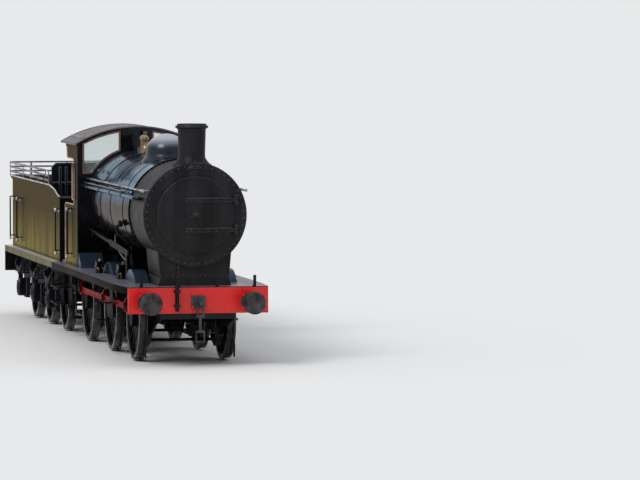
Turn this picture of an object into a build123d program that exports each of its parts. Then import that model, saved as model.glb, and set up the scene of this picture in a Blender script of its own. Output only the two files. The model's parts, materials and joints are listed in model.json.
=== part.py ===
# Six-coupled inside-cylinder goods locomotive with a three-axle tender.
# Frame: +X forward, +Y to the locomotive's left, +Z up, in millimetres.
# The origin is on the floor under the middle of the length over buffers.
# The wheels stand on their flanges, so heights over the rail start one flange depth above the floor.
from build123d import *
from math import asin, atan2, cos, degrees, hypot, pi, radians, sin, sqrt
import os

os.makedirs("parts", exist_ok=True)

# Wheels and track
flange_depth = 28.0
rail = flange_depth
back_to_back = 1360.0
tyre_width = 140.0
tyre_thickness = 65.0
rim_thickness = 50.0
driver_radius = 701.0
tender_wheel_radius = 574.0
driver_spokes = 14
tender_spokes = 10
axle_radius = 85.0
crank_throw = 280.0
crank_angle = 139.0
crank_pin_radius = 45.0
crank_boss_radius = 92.0
fit = 1.0

# Positions along the locomotive, measured back from the leading axle
lead_to_beam = 1700.0
lead_to_driving = 2438.0
driving_to_trailing = 2591.0
lead_to_engine_rear = 6550.0
engine_to_tender = 220.0
tender_length = 6430.0
tender_front_to_axle = 1100.0
tender_axle_spacing = 1920.0
buffer_length = 500.0

front_reach = lead_to_beam + buffer_length
rear_reach = lead_to_engine_rear + engine_to_tender + tender_length + buffer_length
x_lead = (rear_reach - front_reach) / 2
x_driving = x_lead - lead_to_driving
x_trailing = x_driving - driving_to_trailing
x_beam = x_lead + lead_to_beam
x_rear = x_lead - lead_to_engine_rear
plate_curve_x = x_lead + 100.0
x_tender_front = x_rear - engine_to_tender
x_tender_rear = x_tender_front - tender_length
x_tender_axles = [x_tender_front - tender_front_to_axle - i * tender_axle_spacing for i in range(3)]
axle_z = rail + driver_radius
tender_axle_z = rail + tender_wheel_radius
tyre_inner = back_to_back / 2
tyre_outer = tyre_inner + tyre_width

# Running plate, frames and beams
plate_top = rail + 1306.0
plate_thickness = 12.0
plate_half = 1250.0
beam_half = 1175.0
valance_depth = 105.0
valance_thickness = 14.0
frame_outer = 622.0
frame_thickness = 30.0
frame_bottom = rail + 430.0
frame_arch = 130.0
beam_thickness = 30.0
beam_bottom = rail + 865.0
buffer_spread = 863.5
buffer_z = rail + 1054.0
buffer_head_radius = 190.0
buffer_head_thickness = 35.0
buffer_stem_radius = 62.0
buffer_socket_radius = 110.0

# Boiler, firebox and smokebox
boiler_z = rail + 2480.0
barrel_radius = 880.0
barrel_front = 60.0
barrel_rear = 3250.0
band_height = 7.0
band_width = 60.0
firebox_radius = 890.0
firebox_rear = 5250.0
firebox_half = 560.0
firebox_bottom = rail + 1150.0
firebox_waist = rail + 1800.0
smokebox_radius = 862.0
smokebox_shell = 16.0
smokebox_front = 1400.0
door_radius = 640.0
door_thickness = 22.0
chimney_x = x_lead + 1080.0
chimney_top = rail + 3985.0
dome_x = x_lead - 1420.0
dome_radius = 360.0
dome_top = rail + 3755.0
valve_x = x_lead - 3800.0

# Cab
cab_front = 4680.0
cab_half = 1060.0
sheet = 12.0
cab_lower_top = rail + 2402.0
cab_lower_rear = 6100.0
cab_pillar_rear = 5040.0
cab_upper_bottom = rail + 3220.0
cab_upper_rear = 5860.0
eave_z = rail + 3490.0
roof_half = 1110.0
roof_rise = 312.0
roof_front = 4600.0
roof_rear = 6350.0
roof_thickness = 14.0

x_cab = x_lead - cab_front
x_smoke_front = x_lead + smokebox_front
x_smoke_rear = x_lead - barrel_front
x_barrel_rear = x_lead - barrel_rear
x_firebox_rear = x_lead - firebox_rear


def block(x0, x1, y0, y1, z0, z1):
    return Pos((x0 + x1) / 2, (y0 + y1) / 2, (z0 + z1) / 2) * Box(abs(x1 - x0), abs(y1 - y0), abs(z1 - z0))


def slab_x(face, x0, x1):
    """A YZ outline, pulled along X."""
    return extrude(Plane.YZ.offset(x0) * face, amount=x1 - x0)


def slab_y(face, y0, y1):
    """An XZ outline, pulled along Y."""
    return extrude(Plane.XZ.offset(-y1) * face, amount=y1 - y0)


def slab_z(face, z0, z1):
    """An XY outline, pulled along Z."""
    return extrude(Plane.XY.offset(z0) * face, amount=z1 - z0)


def outline(*points):
    return make_face(Polyline(*points, close=True))


def rod_y(x, z, radius, y0, y1):
    return Pos(x, (y0 + y1) / 2, z) * Rot(90, 0, 0) * Cylinder(radius, abs(y1 - y0))


def rod_x(y, z, radius, x0, x1):
    return Pos((x0 + x1) / 2, y, z) * Rot(0, 90, 0) * Cylinder(radius, abs(x1 - x0))


def rod_z(x, y, radius, z0, z1):
    return Pos(x, y, (z0 + z1) / 2) * Cylinder(radius, abs(z1 - z0))


def bar(a, b, radius):
    """A round bar from point a to point b."""
    path = Line(a, b)
    return sweep(Plane(origin=path @ 0, z_dir=path % 0) * Circle(radius), path=path)


def pipe(points, radius, bends):
    """A round pipe through points, with a bend radius at each inner point."""
    path = FilletPolyline(*points, radius=bends)
    return sweep(Plane(origin=path @ 0, z_dir=path % 0) * Circle(radius), path=path)


def both(*solids):
    """The solids and their mirror images on the other side."""
    return [*solids, *(mirror(s, about=Plane.XZ) for s in solids)]


def fuse(*solids):
    whole = solids[0]
    for s in solids[1:]:
        whole = whole + s
    return whole


def keep(name, *solids):
    """Writes one node. Its solids are flattened into one compound."""
    flat = [s for item in solids for s in (item.solids() if hasattr(item, "solids") else item)]
    export_step(Compound(children=[Solid(s.wrapped) for s in flat]), f"parts/{name}.step")


# Wheelsets. Every wheel is drawn about the Y axis through the origin, then placed.
def tyre(radius):
    inner = radius - tyre_thickness
    tip = 30.0
    root = 38.0
    ring = outline(
        (inner, 0), (radius + flange_depth - 8, 0), (radius + flange_depth, 8), (radius + flange_depth, tip - 8),
        (radius + 8, tip), (radius, root), (radius, tyre_width), (inner, tyre_width),
    )
    return Pos(0, tyre_inner, 0) * revolve(ring, Axis.Y, 360)


def wheel_centre(radius, spokes, hub_radius, hub_inner, hub_outer, angle=None, weight=None):
    """A spoked centre on the +Y side. angle places the crank pin and weight is the balance weight's span."""
    rim_outer = radius - tyre_thickness
    rim_inner = rim_outer - rim_thickness
    middle = tyre_inner + tyre_width / 2
    rim = slab_y(Circle(rim_outer) - Circle(rim_inner), middle - 52, middle + 52)
    hub = slab_y(Circle(hub_radius), hub_inner, hub_outer)
    spoke_hub_width, spoke_rim_width = 62.0, 42.0
    spoke = outline(
        (hub_radius * 0.6, -spoke_hub_width / 2), (rim_inner + 15, -spoke_rim_width / 2),
        (rim_inner + 15, spoke_rim_width / 2), (hub_radius * 0.6, spoke_hub_width / 2),
    )
    arms = Sketch() + [Rot(0, 0, i * 360 / spokes + 180 / spokes) * spoke for i in range(spokes)]
    whole = rim + hub + slab_y(arms, middle - 30, middle + 30)
    if angle is not None:
        pin_at = (crank_throw * cos(radians(angle)), crank_throw * sin(radians(angle)))
        web = make_hull([*Circle(hub_radius).edges(), *(Pos(*pin_at) * Circle(crank_boss_radius)).edges()])
        whole += slab_y(web, middle - 30, hub_outer)
        whole += rod_y(pin_at[0], pin_at[1], crank_pin_radius, hub_outer - 1, rod_outer + 25)
        whole += rod_y(pin_at[0], pin_at[1], crank_pin_radius + 16, rod_outer + 4, rod_outer + 25)
    if weight is not None:
        reach, turn = 1.4 * rim_outer, angle + 180
        wedge = outline(
            (0, 0), (reach * cos(radians(turn - weight)), reach * sin(radians(turn - weight))),
            (reach * cos(radians(turn)), reach * sin(radians(turn))),
            (reach * cos(radians(turn + weight)), reach * sin(radians(turn + weight))),
        )
        crescent = (Circle(rim_inner + 10) - Circle(rim_inner - 165)) & wedge
        whole += slab_y(crescent, middle - 45, middle + 45)
    return whole


rod_inner = tyre_outer + 45.0
rod_thickness = 60.0
rod_outer = rod_inner + rod_thickness
hub_face = rod_inner - 8.0
left_angle = crank_angle - 90.0


def driving_wheelset(x, cranked):
    right = mirror(wheel_centre(driver_radius, driver_spokes, 150, frame_outer + 38, hub_face, crank_angle, 33),
                   about=Plane.XZ)
    left = wheel_centre(driver_radius, driver_spokes, 150, frame_outer + 38, hub_face, left_angle, 33)
    whole = fuse(rod_y(0, 0, axle_radius, -tyre_inner - 20, tyre_inner + 20), left, right)
    if cranked:
        # Two inside cranks at right angles, each with two webs and a journal, and four eccentric sheaves between.
        for side, angle in ((1, left_angle + 180), (-1, crank_angle + 180)):
            px, pz = inside_throw * cos(radians(angle)), inside_throw * sin(radians(angle))
            web = make_hull([*Circle(140).edges(), *(Pos(px, pz) * Circle(125)).edges()])
            for near, far in ((-165, -60), (60, 165)):
                whole += slab_y(web, side * cylinder_spread + near, side * cylinder_spread + far)
            whole += rod_y(px, pz, 95, side * cylinder_spread - 62, side * cylinder_spread + 62)
        for y, turn in ((-110, 60), (-40, 200), (40, 330), (110, 110)):
            whole += rod_y(60 * cos(radians(turn)), 60 * sin(radians(turn)), 175, y - 28, y + 28)
    return Pos(x, 0, axle_z) * whole


inside_throw = 330.0
cylinder_spread = 330.0
driver_x = {"leading": x_lead, "driving": x_driving, "trailing": x_trailing}
for place, x in driver_x.items():
    keep(f"{place}_wheelset", driving_wheelset(x, place == "driving"))
    keep(f"{place}_tyres", *both(Pos(x, 0, axle_z) * tyre(driver_radius)))


# Tender wheelsets, with journals outside the wheels
journal_radius = 66.0
box_outer = 1165.0
journal_end = box_outer - 60.0


def tender_wheelset(x):
    left = wheel_centre(tender_wheel_radius, tender_spokes, 125, tyre_inner - 30, tyre_outer + 20)
    axle = rod_y(0, 0, 78, -tyre_outer, tyre_outer) + rod_y(0, 0, journal_radius, -journal_end, journal_end)
    return Pos(x, 0, tender_axle_z) * fuse(axle, *both(left))


for i, x in enumerate(x_tender_axles, 1):
    keep(f"tender_wheelset_{i}", tender_wheelset(x))
    keep(f"tender_tyres_{i}", *both(Pos(x, 0, tender_axle_z) * tyre(tender_wheel_radius)))


# Coupling rods: fluted bars between bossed ends, one piece a side
rod_depth = 104.0
rod_web = 26.0
rod_flute = 62.0


def coupling_rod(side, angle):
    dx, dz = crank_throw * cos(radians(angle)), crank_throw * sin(radians(angle))
    pins = [x + dx for x in driver_x.values()]
    z = axle_z + dz
    y0, y1 = (rod_inner, rod_outer)
    beam_y = (y0 + 5, y1 - 5)
    whole = block(pins[2], pins[0], *beam_y, z - rod_depth / 2, z + rod_depth / 2)
    for a, b in ((pins[1], pins[0]), (pins[2], pins[1])):
        slot = Pos((a + b) / 2, z) * RectangleRounded(b - a - 330, rod_flute, rod_flute / 2 - 1)
        deep = (rod_thickness - 10 - rod_web) / 2
        whole -= slab_y(slot, beam_y[1] - deep, beam_y[1] + 1)
        whole -= slab_y(slot, beam_y[0] - 1, beam_y[0] + deep)
    for x in pins:
        whole += rod_y(x, z, crank_boss_radius + 12, y0, y1)
        whole += block(x - 30, x + 30, y0 + 12, y1 - 12, z + crank_boss_radius, z + crank_boss_radius + 52)
    # The knuckle joint stands just behind the middle pin
    whole += rod_y(pins[1] - 175, z, 70, y0 + 2, y1 - 2)
    for x in pins:
        whole -= rod_y(x, z, crank_pin_radius + fit, y0 - 1, y1 + 1)
    return whole if side > 0 else mirror(whole, about=Plane.XZ)


keep("left_coupling_rod", coupling_rod(1, left_angle))
keep("right_coupling_rod", coupling_rod(-1, crank_angle))


# Engine frames: two plates with horn gaps, joined by cross stretchers
horn_half = 128.0
horn_top = axle_z + 165.0
frame_top = plate_top - plate_thickness
x_frame_front = x_beam - beam_thickness
frame_inner = frame_outer - frame_thickness


def engine_frames():
    side = outline((x_rear, frame_bottom + 250), (x_trailing - 620, frame_bottom + 250), (x_trailing - 430, frame_bottom),
                   (x_lead + 380, frame_bottom), (x_lead + 760, frame_bottom + 150), (x_frame_front, frame_bottom + 330),
                   (x_frame_front, frame_top), (x_rear, frame_top))
    for x in driver_x.values():
        side -= Pos(x, (frame_bottom + horn_top) / 2) * Rectangle(2 * horn_half, horn_top - frame_bottom + 2)
    for x in ((x_lead + x_driving) / 2, (x_driving + x_trailing) / 2):
        # lightening hole between axles, with arched lower edge
        side -= Pos(x, frame_bottom - 60) * Ellipse(520, frame_arch + 60)
        side -= Pos(x, axle_z + 210) * RectangleRounded(620, 230, 100)
    plates = both(slab_y(side, frame_inner, frame_outer))
    webs = [
        block(x, x + 25, -frame_inner, frame_inner, z0, frame_top)
        for x, z0 in ((x_rear + 30, frame_bottom + 270), (x_frame_front - 26, frame_bottom + 340))
    ]
    return fuse(*plates, *webs)


keep("engine_frames", engine_frames())


# Front end
def buffer(face, way, side):
    """Socket, ram and round head on a beam face. way is +1 for the front and -1 for the back."""
    profile = outline(
        (0, 0), (0, 150), (22, 150), (22, buffer_socket_radius), (60, buffer_socket_radius), (250, 84), (262, 92),
        (285, 92), (285, buffer_stem_radius), (buffer_length - 60, buffer_stem_radius),
        (buffer_length - buffer_head_thickness, buffer_head_radius - 8),
        (buffer_length - 18, buffer_head_radius), (buffer_length, buffer_head_radius - 10), (buffer_length, 0),
    )
    turned = revolve(profile, Axis.X, 360)
    if way < 0:
        turned = Rot(0, 0, 180) * turned
    return Pos(face, side * buffer_spread, buffer_z) * turned


def drawhook(face, way):
    """Hook with a screw coupling hanging from it, in its own frame and then turned to face out."""
    hook = outline((0, -55), (140, -45), (215, -70), (290, -30), (300, 40), (262, 62), (240, 20), (200, 5), (170, 40),
                   (140, 55), (0, 55))
    whole = slab_y(hook, -24, 24) + block(0, 24, -120, 120, -110, 110)
    shackle = block(165, 195, -62, -34, -210, -20) + block(165, 195, 34, 62, -210, -20)
    shackle += rod_y(180, -20, 16, -62, 62) + block(158, 202, -70, 70, -250, -205)
    shackle += rod_z(180, 0, 22, -470, -250) + block(158, 202, -70, 70, -500, -455)
    link = block(168, 192, -78, -56, -640, -470) + block(168, 192, 56, 78, -640, -470)
    link += rod_y(180, -650, 20, -78, 78)
    return Pos(face, 0, buffer_z) * Rot(0, 0, 0 if way > 0 else 180) * fuse(whole, shackle, link)


keep("front_buffer_beam", block(x_frame_front, x_beam, -beam_half, beam_half, beam_bottom, frame_top))
keep("front_buffers", *(buffer(x_beam, 1, side) for side in (1, -1)))
keep("front_drawhook", drawhook(x_beam, 1))


# Running plate with slots over the wheels, and its valances
splasher_radius = 812.0
trailing_splasher_radius = 930.0
splasher_outer = 865.0
splasher_inner = frame_outer + 10.0
splasher_sheet = 8.0
slot_inner = splasher_inner + splasher_sheet + 4
slot_outer = splasher_outer - splasher_sheet - 4
cab_inner = cab_half - sheet


def half_chord(radius, height):
    return sqrt(radius ** 2 - height ** 2)


def plate_plan(inset=0.0):
    """The +Y half of the running plate, whose edge curves in to the narrower front beam."""
    half, front = plate_half - inset, beam_half - inset
    run, sag = x_frame_front - plate_curve_x, half - front
    radius = (run ** 2 + sag ** 2) / (2 * sag)
    middle = (plate_curve_x + run / 2, half - radius + half_chord(radius, run / 2))
    edge = (Polyline((x_frame_front, front), (x_frame_front, 0), (x_rear, 0), (x_rear, half), (plate_curve_x, half))
            + ThreePointArc((plate_curve_x, half), middle, (x_frame_front, front)))
    return make_face(edge)


def running_plate():
    half = slab_z(plate_plan(), frame_top, plate_top)
    half += slab_z(plate_plan() - plate_plan(valance_thickness), frame_top - valance_depth, frame_top)
    whole = fuse(*both(half), block(x_frame_front - 1, x_beam, -beam_half, beam_half, frame_top, plate_top))
    whole -= block(x_cab + 30, x_smoke_rear - 40, -frame_inner, frame_inner, frame_top - 1, plate_top + 1)
    whole -= block(x_firebox_rear - 1, x_cab + 31, -firebox_half - 6, firebox_half + 6, frame_top - 1, plate_top + 1)
    for name, x in driver_x.items():
        reach = half_chord(splasher_radius - splasher_sheet - 6, plate_top - axle_z)
        for side in (1, -1):
            whole -= block(x - reach, x + reach, side * slot_inner, side * slot_outer, frame_top - 1, plate_top + 1)
    return whole


def splasher(x, radius, inner, outer):
    """A hollow half drum standing on the running plate, on the +Y side."""
    above = Pos(0, plate_top + 1000) * Rectangle(4000, 2000)
    full = (Pos(0, axle_z) * Circle(radius)) & above
    hollow = (Pos(0, axle_z) * Circle(radius - splasher_sheet)) & above
    whole = slab_y(full, inner, outer) - slab_y(hollow, inner + splasher_sheet, outer - splasher_sheet)
    return Pos(x, 0, 0) * whole


keep("running_plate", running_plate())
keep("splashers", *both(splasher(x_lead, splasher_radius, splasher_inner, splasher_outer),
                        splasher(x_driving, splasher_radius, splasher_inner, splasher_outer),
                        splasher(x_trailing, trailing_splasher_radius, splasher_inner, cab_inner)))


# Boiler, firebox and smokebox
def boiler_barrel():
    whole = rod_x(0, boiler_z, barrel_radius, x_barrel_rear, x_smoke_rear)
    for x in (x_smoke_rear - 45, x_smoke_rear - 700, x_smoke_rear - 2050, x_barrel_rear + 40):
        whole += rod_x(0, boiler_z, barrel_radius + band_height, x - band_width / 2, x + band_width / 2)
    return whole


def firebox_outline(grow=0.0):
    r = firebox_radius + grow
    top = (Pos(0, boiler_z) * Circle(r)) & (Pos(0, boiler_z + 1000) * Rectangle(4000, 2000))
    lower = outline(
        (-r, boiler_z), (r, boiler_z), (r - 20, boiler_z - 200), (firebox_half + 60 + grow, firebox_waist - 150),
        (firebox_half + grow, firebox_waist - 230), (firebox_half + grow, firebox_bottom - grow),
        (-firebox_half - grow, firebox_bottom - grow), (-firebox_half - grow, firebox_waist - 230),
        (-firebox_half - 60 - grow, firebox_waist - 150), (-r + 20, boiler_z - 200),
    )
    return top + lower


def smokebox():
    whole = rod_x(0, boiler_z, smokebox_radius, x_smoke_rear, x_smoke_front)
    whole -= rod_x(0, boiler_z, smokebox_radius - smokebox_shell, x_smoke_rear + 20, x_smoke_front - 20)
    whole -= rod_x(0, boiler_z, door_radius - 45, x_smoke_front - 21, x_smoke_front + 1)
    whole -= rod_z(chimney_x, 0, chimney_bore, boiler_z + 500, boiler_z + 1000)
    saddle = outline((-frame_outer, plate_top), (frame_outer, plate_top), (frame_outer - 40, plate_top + 120),
                     (frame_outer, boiler_z - 560), (-frame_outer, boiler_z - 560), (-frame_outer + 40, plate_top + 120))
    foot = slab_x(saddle, x_lead + 180, x_smoke_front - 60)
    foot -= rod_x(0, boiler_z, smokebox_radius - 1, x_smoke_rear - 10, x_smoke_front + 10)
    pipe_foot = boiler_z - smokebox_radius + smokebox_shell - 1
    blast = outline((0, pipe_foot), (150, pipe_foot), (105, pipe_foot + 160), (75, boiler_z - 120), (0, boiler_z - 120))
    return whole + foot + Pos(chimney_x, 0, 0) * revolve(Plane.XZ * blast, Axis.Z, 360)


chimney_bore = 200.0
chimney_foot = boiler_z + smokebox_radius


def chimney():
    profile = Plane.XZ * outline(
        (chimney_bore, chimney_foot - 90), (345, chimney_foot - 90), (330, chimney_foot - 50), (272, chimney_foot + 10),
        (230, chimney_foot + 70), (222, chimney_foot + 120), (234, chimney_top - 92), (252, chimney_top - 76),
        (274, chimney_top - 66), (274, chimney_top - 34), (246, chimney_top - 26), (240, chimney_top),
        (chimney_bore, chimney_top),
    )
    whole = revolve(profile, Axis.Z, 360)
    return Pos(chimney_x, 0, 0) * whole - rod_x(0, boiler_z, smokebox_radius, x_smoke_rear, x_smoke_front)


def dome():
    waist = dome_top - 300
    rise = dome_top - waist
    corner = 235.0
    crown = ((dome_radius - corner) ** 2 + rise ** 2 - corner ** 2) / (2 * (rise - corner))
    lean = degrees(atan2(crown - rise, dome_radius - corner))
    edge = (Polyline((0, boiler_z + 600), (dome_radius + 70, boiler_z + 600), (dome_radius + 70, boiler_z + 815),
                     (dome_radius + 12, boiler_z + 890), (dome_radius, boiler_z + 930), (dome_radius, waist))
            + CenterArc((dome_radius - corner, waist), corner, 0, lean)
            + CenterArc((0, dome_top - crown), crown, lean, 90 - lean)
            + Line((0, dome_top), (0, boiler_z + 600)))
    profile = Plane.XZ * make_face(edge)
    whole = Pos(dome_x, 0, 0) * revolve(profile, Axis.Z, 360)
    return whole - rod_x(0, boiler_z, barrel_radius, x_barrel_rear, x_smoke_rear)


def safety_valves():
    seat = Pos(valve_x, 0) * SlotCenterToCenter(300, 190)
    base = slab_z(seat, boiler_z + 820, boiler_z + 960) - rod_x(0, boiler_z, firebox_radius, x_firebox_rear,
                                                               x_barrel_rear)
    for dx in (-150, 150):
        profile = Plane.XZ * outline((0, boiler_z + 955), (64, boiler_z + 955), (50, boiler_z + 1000),
                                     (46, boiler_z + 1090), (58, boiler_z + 1100), (58, boiler_z + 1150),
                                     (40, boiler_z + 1165), (26, boiler_z + 1185), (0, boiler_z + 1185))
        base += Pos(valve_x + dx, 0, 0) * revolve(profile, Axis.Z, 360)
    whistle_x = x_cab + 160
    whistle = rod_z(whistle_x, 130, 16, boiler_z + 875, boiler_z + 1080)
    whistle += rod_z(whistle_x, 130, 42, boiler_z + 1070, boiler_z + 1085)
    whistle += rod_z(whistle_x, 130, 38, boiler_z + 1110, boiler_z + 1230) + rod_z(whistle_x, 130, 10, boiler_z + 1080,
                                                                                  boiler_z + 1115)
    whistle -= rod_x(0, boiler_z, firebox_radius, x_firebox_rear, x_barrel_rear)
    return base, whistle


door_hinge_y = door_radius + 50.0
door_pin_radius = 12.0
knuckle_half = 42.0
door_hinge_x = x_smoke_front + 46.0


def smokebox_door():
    gap = 1.5
    profile = outline((gap, 0), (gap, door_radius), (door_thickness + 8, door_radius), (door_thickness + 62, 330),
                      (door_thickness + 78, 0))
    inner = outline((gap - 1, 0), (gap - 1, door_radius - 60), (12, door_radius - 60), (46, 300), (58, 0))
    whole = Pos(x_smoke_front, 0, boiler_z) * (revolve(profile, Axis.X, 360) - revolve(inner, Axis.X, 360))
    for dz in (-250, 250):
        reach = half_chord(door_radius, 250)
        strap = outline((x_smoke_front + 30, door_hinge_y), (x_smoke_front + 62, door_hinge_y),
                        (x_smoke_front + 62, reach - 40), (x_smoke_front + door_thickness + 86, 140),
                        (x_smoke_front + door_thickness + 86, -160), (x_smoke_front + door_thickness + 40, -160),
                        (x_smoke_front + 30, reach - 60))
        whole += slab_z(strap, boiler_z + dz - 32, boiler_z + dz + 32)
        whole += rod_z(door_hinge_x, door_hinge_y, 26, boiler_z + dz - knuckle_half, boiler_z + dz + knuckle_half - 2)
        whole -= rod_z(door_hinge_x, door_hinge_y, door_pin_radius + fit, boiler_z + dz - knuckle_half - 1,
                       boiler_z + dz + knuckle_half + 1)
    centre_x = x_smoke_front + door_thickness + 76
    whole += rod_x(0, boiler_z, 46, centre_x - 20, centre_x + 26)
    whole += rod_x(0, boiler_z, 20, centre_x, centre_x + 95)
    for turn, at in ((200, 45), (290, 75)):
        tip = (260 * cos(radians(turn)), 260 * sin(radians(turn)))
        whole += bar((centre_x + at, 0, boiler_z), (centre_x + at, tip[0], boiler_z + tip[1]), 13)
    return whole


def door_hinges():
    whole = []
    for dz in (-250, 250):
        for z0 in (-knuckle_half - 36, knuckle_half):
            whole.append(block(x_smoke_front - 5, door_hinge_x + 26, door_hinge_y - 26, door_hinge_y + 26,
                               boiler_z + dz + z0, boiler_z + dz + z0 + 36))
        whole.append(rod_z(door_hinge_x, door_hinge_y, door_pin_radius, boiler_z + dz - knuckle_half - 10,
                           boiler_z + dz + knuckle_half + 10))
    return whole


keep("boiler_barrel", boiler_barrel())
keep("firebox", slab_x(firebox_outline(), x_firebox_rear, x_barrel_rear))
keep("smokebox", fuse(smokebox(), *door_hinges()))
keep("smokebox_door", smokebox_door())
keep("chimney", chimney())
keep("dome", dome())
keep("safety_valves", *safety_valves())


# Boiler fittings along the sides
boiler_widest = max(barrel_radius, firebox_radius, smokebox_radius)
rail_z = rail + 2880.0
rail_y = boiler_widest - 18
ejector_z = rail + 2750.0
ejector_y = boiler_widest + 60
clack_z = boiler_z - 240
clack_y = boiler_widest + 60
feed_turn_z = clack_z - 140
feed_low_z = feed_turn_z - 230
feed_low_y = 705.0


def boiler_handrails():
    whole = []
    posts = ((x_cab + 500, firebox_radius), (x_cab + 1800, barrel_radius), (x_smoke_rear - 1950, barrel_radius),
             (x_smoke_rear - 900, barrel_radius), (x_smoke_front - 500, smokebox_radius),
             (x_smoke_front - 92, smokebox_radius))
    for side in (1, -1):
        line = rod_x(side * rail_y, rail_z, 16, x_cab, x_smoke_front - 60)
        for x, radius in posts:
            line += rod_y(x, rail_z, 12, side * half_chord(radius, rail_z - boiler_z - 12), side * rail_y)
            line += rod_x(side * rail_y, rail_z, 25, x - 22, x + 22)
        whole.append(line)
    return whole


def boiler_pipes():
    """The ejector pipe on the right, a lubricating pipe above it, and a feed pipe with its clack on each side."""
    y = -ejector_y
    skin = -half_chord(smokebox_radius, ejector_z - boiler_z - 32)
    ejector = pipe([(x_cab, y, ejector_z), (x_smoke_front - 420, y, ejector_z), (x_smoke_front - 420, skin, ejector_z)],
                   32, 80)
    for x, radius in ((x_cab + 700, firebox_radius), (x_smoke_rear - 2700, barrel_radius),
                      (x_smoke_rear - 1500, barrel_radius), (x_smoke_rear - 300, barrel_radius)):
        ejector += rod_y(x, ejector_z, 10, -half_chord(radius, ejector_z - boiler_z - 10), y)
        ejector += rod_x(y, ejector_z, 40, x - 18, x + 18)
    feeds = []
    for side in (1, -1):
        x = x_lead - 850
        start = half_chord(barrel_radius, clack_z - boiler_z + 48)
        top = pipe([(x, side * start, clack_z), (x, side * clack_y, clack_z), (x, side * clack_y, feed_turn_z),
                    (x, side * feed_low_y, feed_low_z), (x, side * feed_low_y, plate_top)], 24, 55)
        top += rod_y(x, clack_z, 48, side * start, side * (clack_y - 45))
        top += rod_z(x, side * (clack_y - 45), 30, clack_z - 50, clack_z + 60)
        feeds.append(top)
    return [ejector, *feeds]


reach_y = 805.0
reach_rear = (x_firebox_rear - 57, rail + 1990.0)
reach_middle = (x_lead - 2560, rail + 1850.0)
reach_front = (x_lead - 655, rail + 1750.0)


def strip(a, b, depth):
    """A flat bar's XZ outline from a to b."""
    run = hypot(b[0] - a[0], b[1] - a[1])
    tilt = degrees(atan2(b[1] - a[1], b[0] - a[0]))
    return Pos((a[0] + b[0]) / 2, (a[1] + b[1]) / 2) * Rot(0, 0, tilt) * Rectangle(run, depth)


def reversing_rod():
    y0, y1 = -reach_y - 12, -reach_y + 12
    whole = slab_y(strip(reach_rear, reach_middle, 44), y0, y1)
    whole += slab_y(strip(reach_middle, reach_front, 100), y0, y1)
    x, z = reach_front
    whole += rod_y(x, z, 55, y0 - 8, y1 + 8)
    arm = outline((x - 40, z), (x + 40, z), (x + 45, plate_top), (x - 45, plate_top))
    return whole + slab_y(arm, y0 - 22, y0 - 1)


keep("boiler_handrails", *boiler_handrails())
keep("boiler_pipes", *boiler_pipes())
keep("reversing_rod", reversing_rod())


# Cylinders, slide bars, axleboxes, springs and brakes under the engine
cylinder_slope = 0.105
brake_gap = 8.0


def line_z(x):
    """Height of the cylinder centre line at x."""
    return axle_z + cylinder_slope * (x - x_driving)


def cylinder_block():
    x0, x1 = x_lead + 330, x_lead + 1130
    whole = block(x0, x1, -frame_inner, frame_inner, rail + 740, frame_top - 4)
    for y in (-cylinder_spread, cylinder_spread):
        z = min(line_z(x1), frame_top - 270)
        whole += rod_x(y, z, 245, x1 - 1, x1 + 38) + rod_x(y, z, 90, x1 + 30, x1 + 60)
    return whole


def slide_bars():
    x0, x1 = x_lead - 800, x_lead + 330
    whole = block(x0, x0 + 28, -frame_inner, frame_inner, line_z(x0) - 230, frame_top - 10)
    for y in (-cylinder_spread, cylinder_spread):
        whole -= rod_x(y, line_z(x0), 118, x0 - 1, x0 + 29)
        for dz in (-140, 140):
            run = strip((x0 + 10, line_z(x0) + dz), (x1, line_z(x1) + dz), 44)
            whole += slab_y(run, y - 38, y + 38) - block(x1, x1 + 100, y - 60, y + 60, 0, 3000)
    return whole


box_bottom_drop = 165.0


def engine_axlebox(x, side):
    y0, y1 = 556.0, 654.0
    whole = block(x - horn_half, x + horn_half, frame_inner, frame_outer, axle_z - box_bottom_drop, axle_z + 158)
    whole += block(x - horn_half - 30, x + horn_half + 30, y0, frame_inner, axle_z - box_bottom_drop, axle_z + 150)
    whole += block(x - horn_half - 30, x + horn_half + 30, frame_outer, y1, axle_z - box_bottom_drop, axle_z + 150)
    whole -= rod_y(x, axle_z, axle_radius + fit, y0 - 1, y1 + 1)
    return whole if side > 0 else mirror(whole, about=Plane.XZ)


def leaf_spring(half_span, rise, leaves, thickness, y0, y1):
    """Curved leaves with the ends up, the middle of the lowest leaf at the origin."""
    inner = (half_span ** 2 + rise ** 2) / (2 * rise)
    whole = None
    for i in range(leaves):
        r = inner + i * thickness
        share = 1 - 0.8 * i / (leaves - 1)
        spread = asin(half_span / inner) * share
        reach = 2 * r
        wedge = outline((0, 0), (-reach * sin(spread), -reach * cos(spread)), (0, -reach), (reach * sin(spread),
                                                                                            -reach * cos(spread)))
        leaf = slab_y((Circle(r + thickness) - Circle(r)) & wedge, y0, y1)
        whole = leaf if whole is None else whole + leaf
    return Pos(0, 0, inner + leaves * thickness) * whole


def engine_spring(x, side):
    """Springs hang under the axleboxes, ends up, and their hangers reach the frame's lower edge."""
    top = axle_z - box_bottom_drop
    span, rise, leaves, thickness = 430.0, 70.0, 7, 14.0
    base = rail + 228.0
    whole = Pos(x, 0, base) * leaf_spring(span, rise, leaves, thickness, 560, 652)
    whole += block(x - 55, x + 55, 556, 656, base - 18, base + leaves * thickness + 25)
    whole += rod_z(x, 606, 26, base + leaves * thickness, top)
    for way in (-1, 1):
        end = x + way * (span - 25)
        whole += rod_z(end, 606, 15, base + leaves * thickness + rise - 35, frame_bottom)
        whole += block(end - 32, end + 32, 566, 646, frame_bottom - 26, frame_bottom)
    return whole if side > 0 else mirror(whole, about=Plane.XZ)


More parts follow.
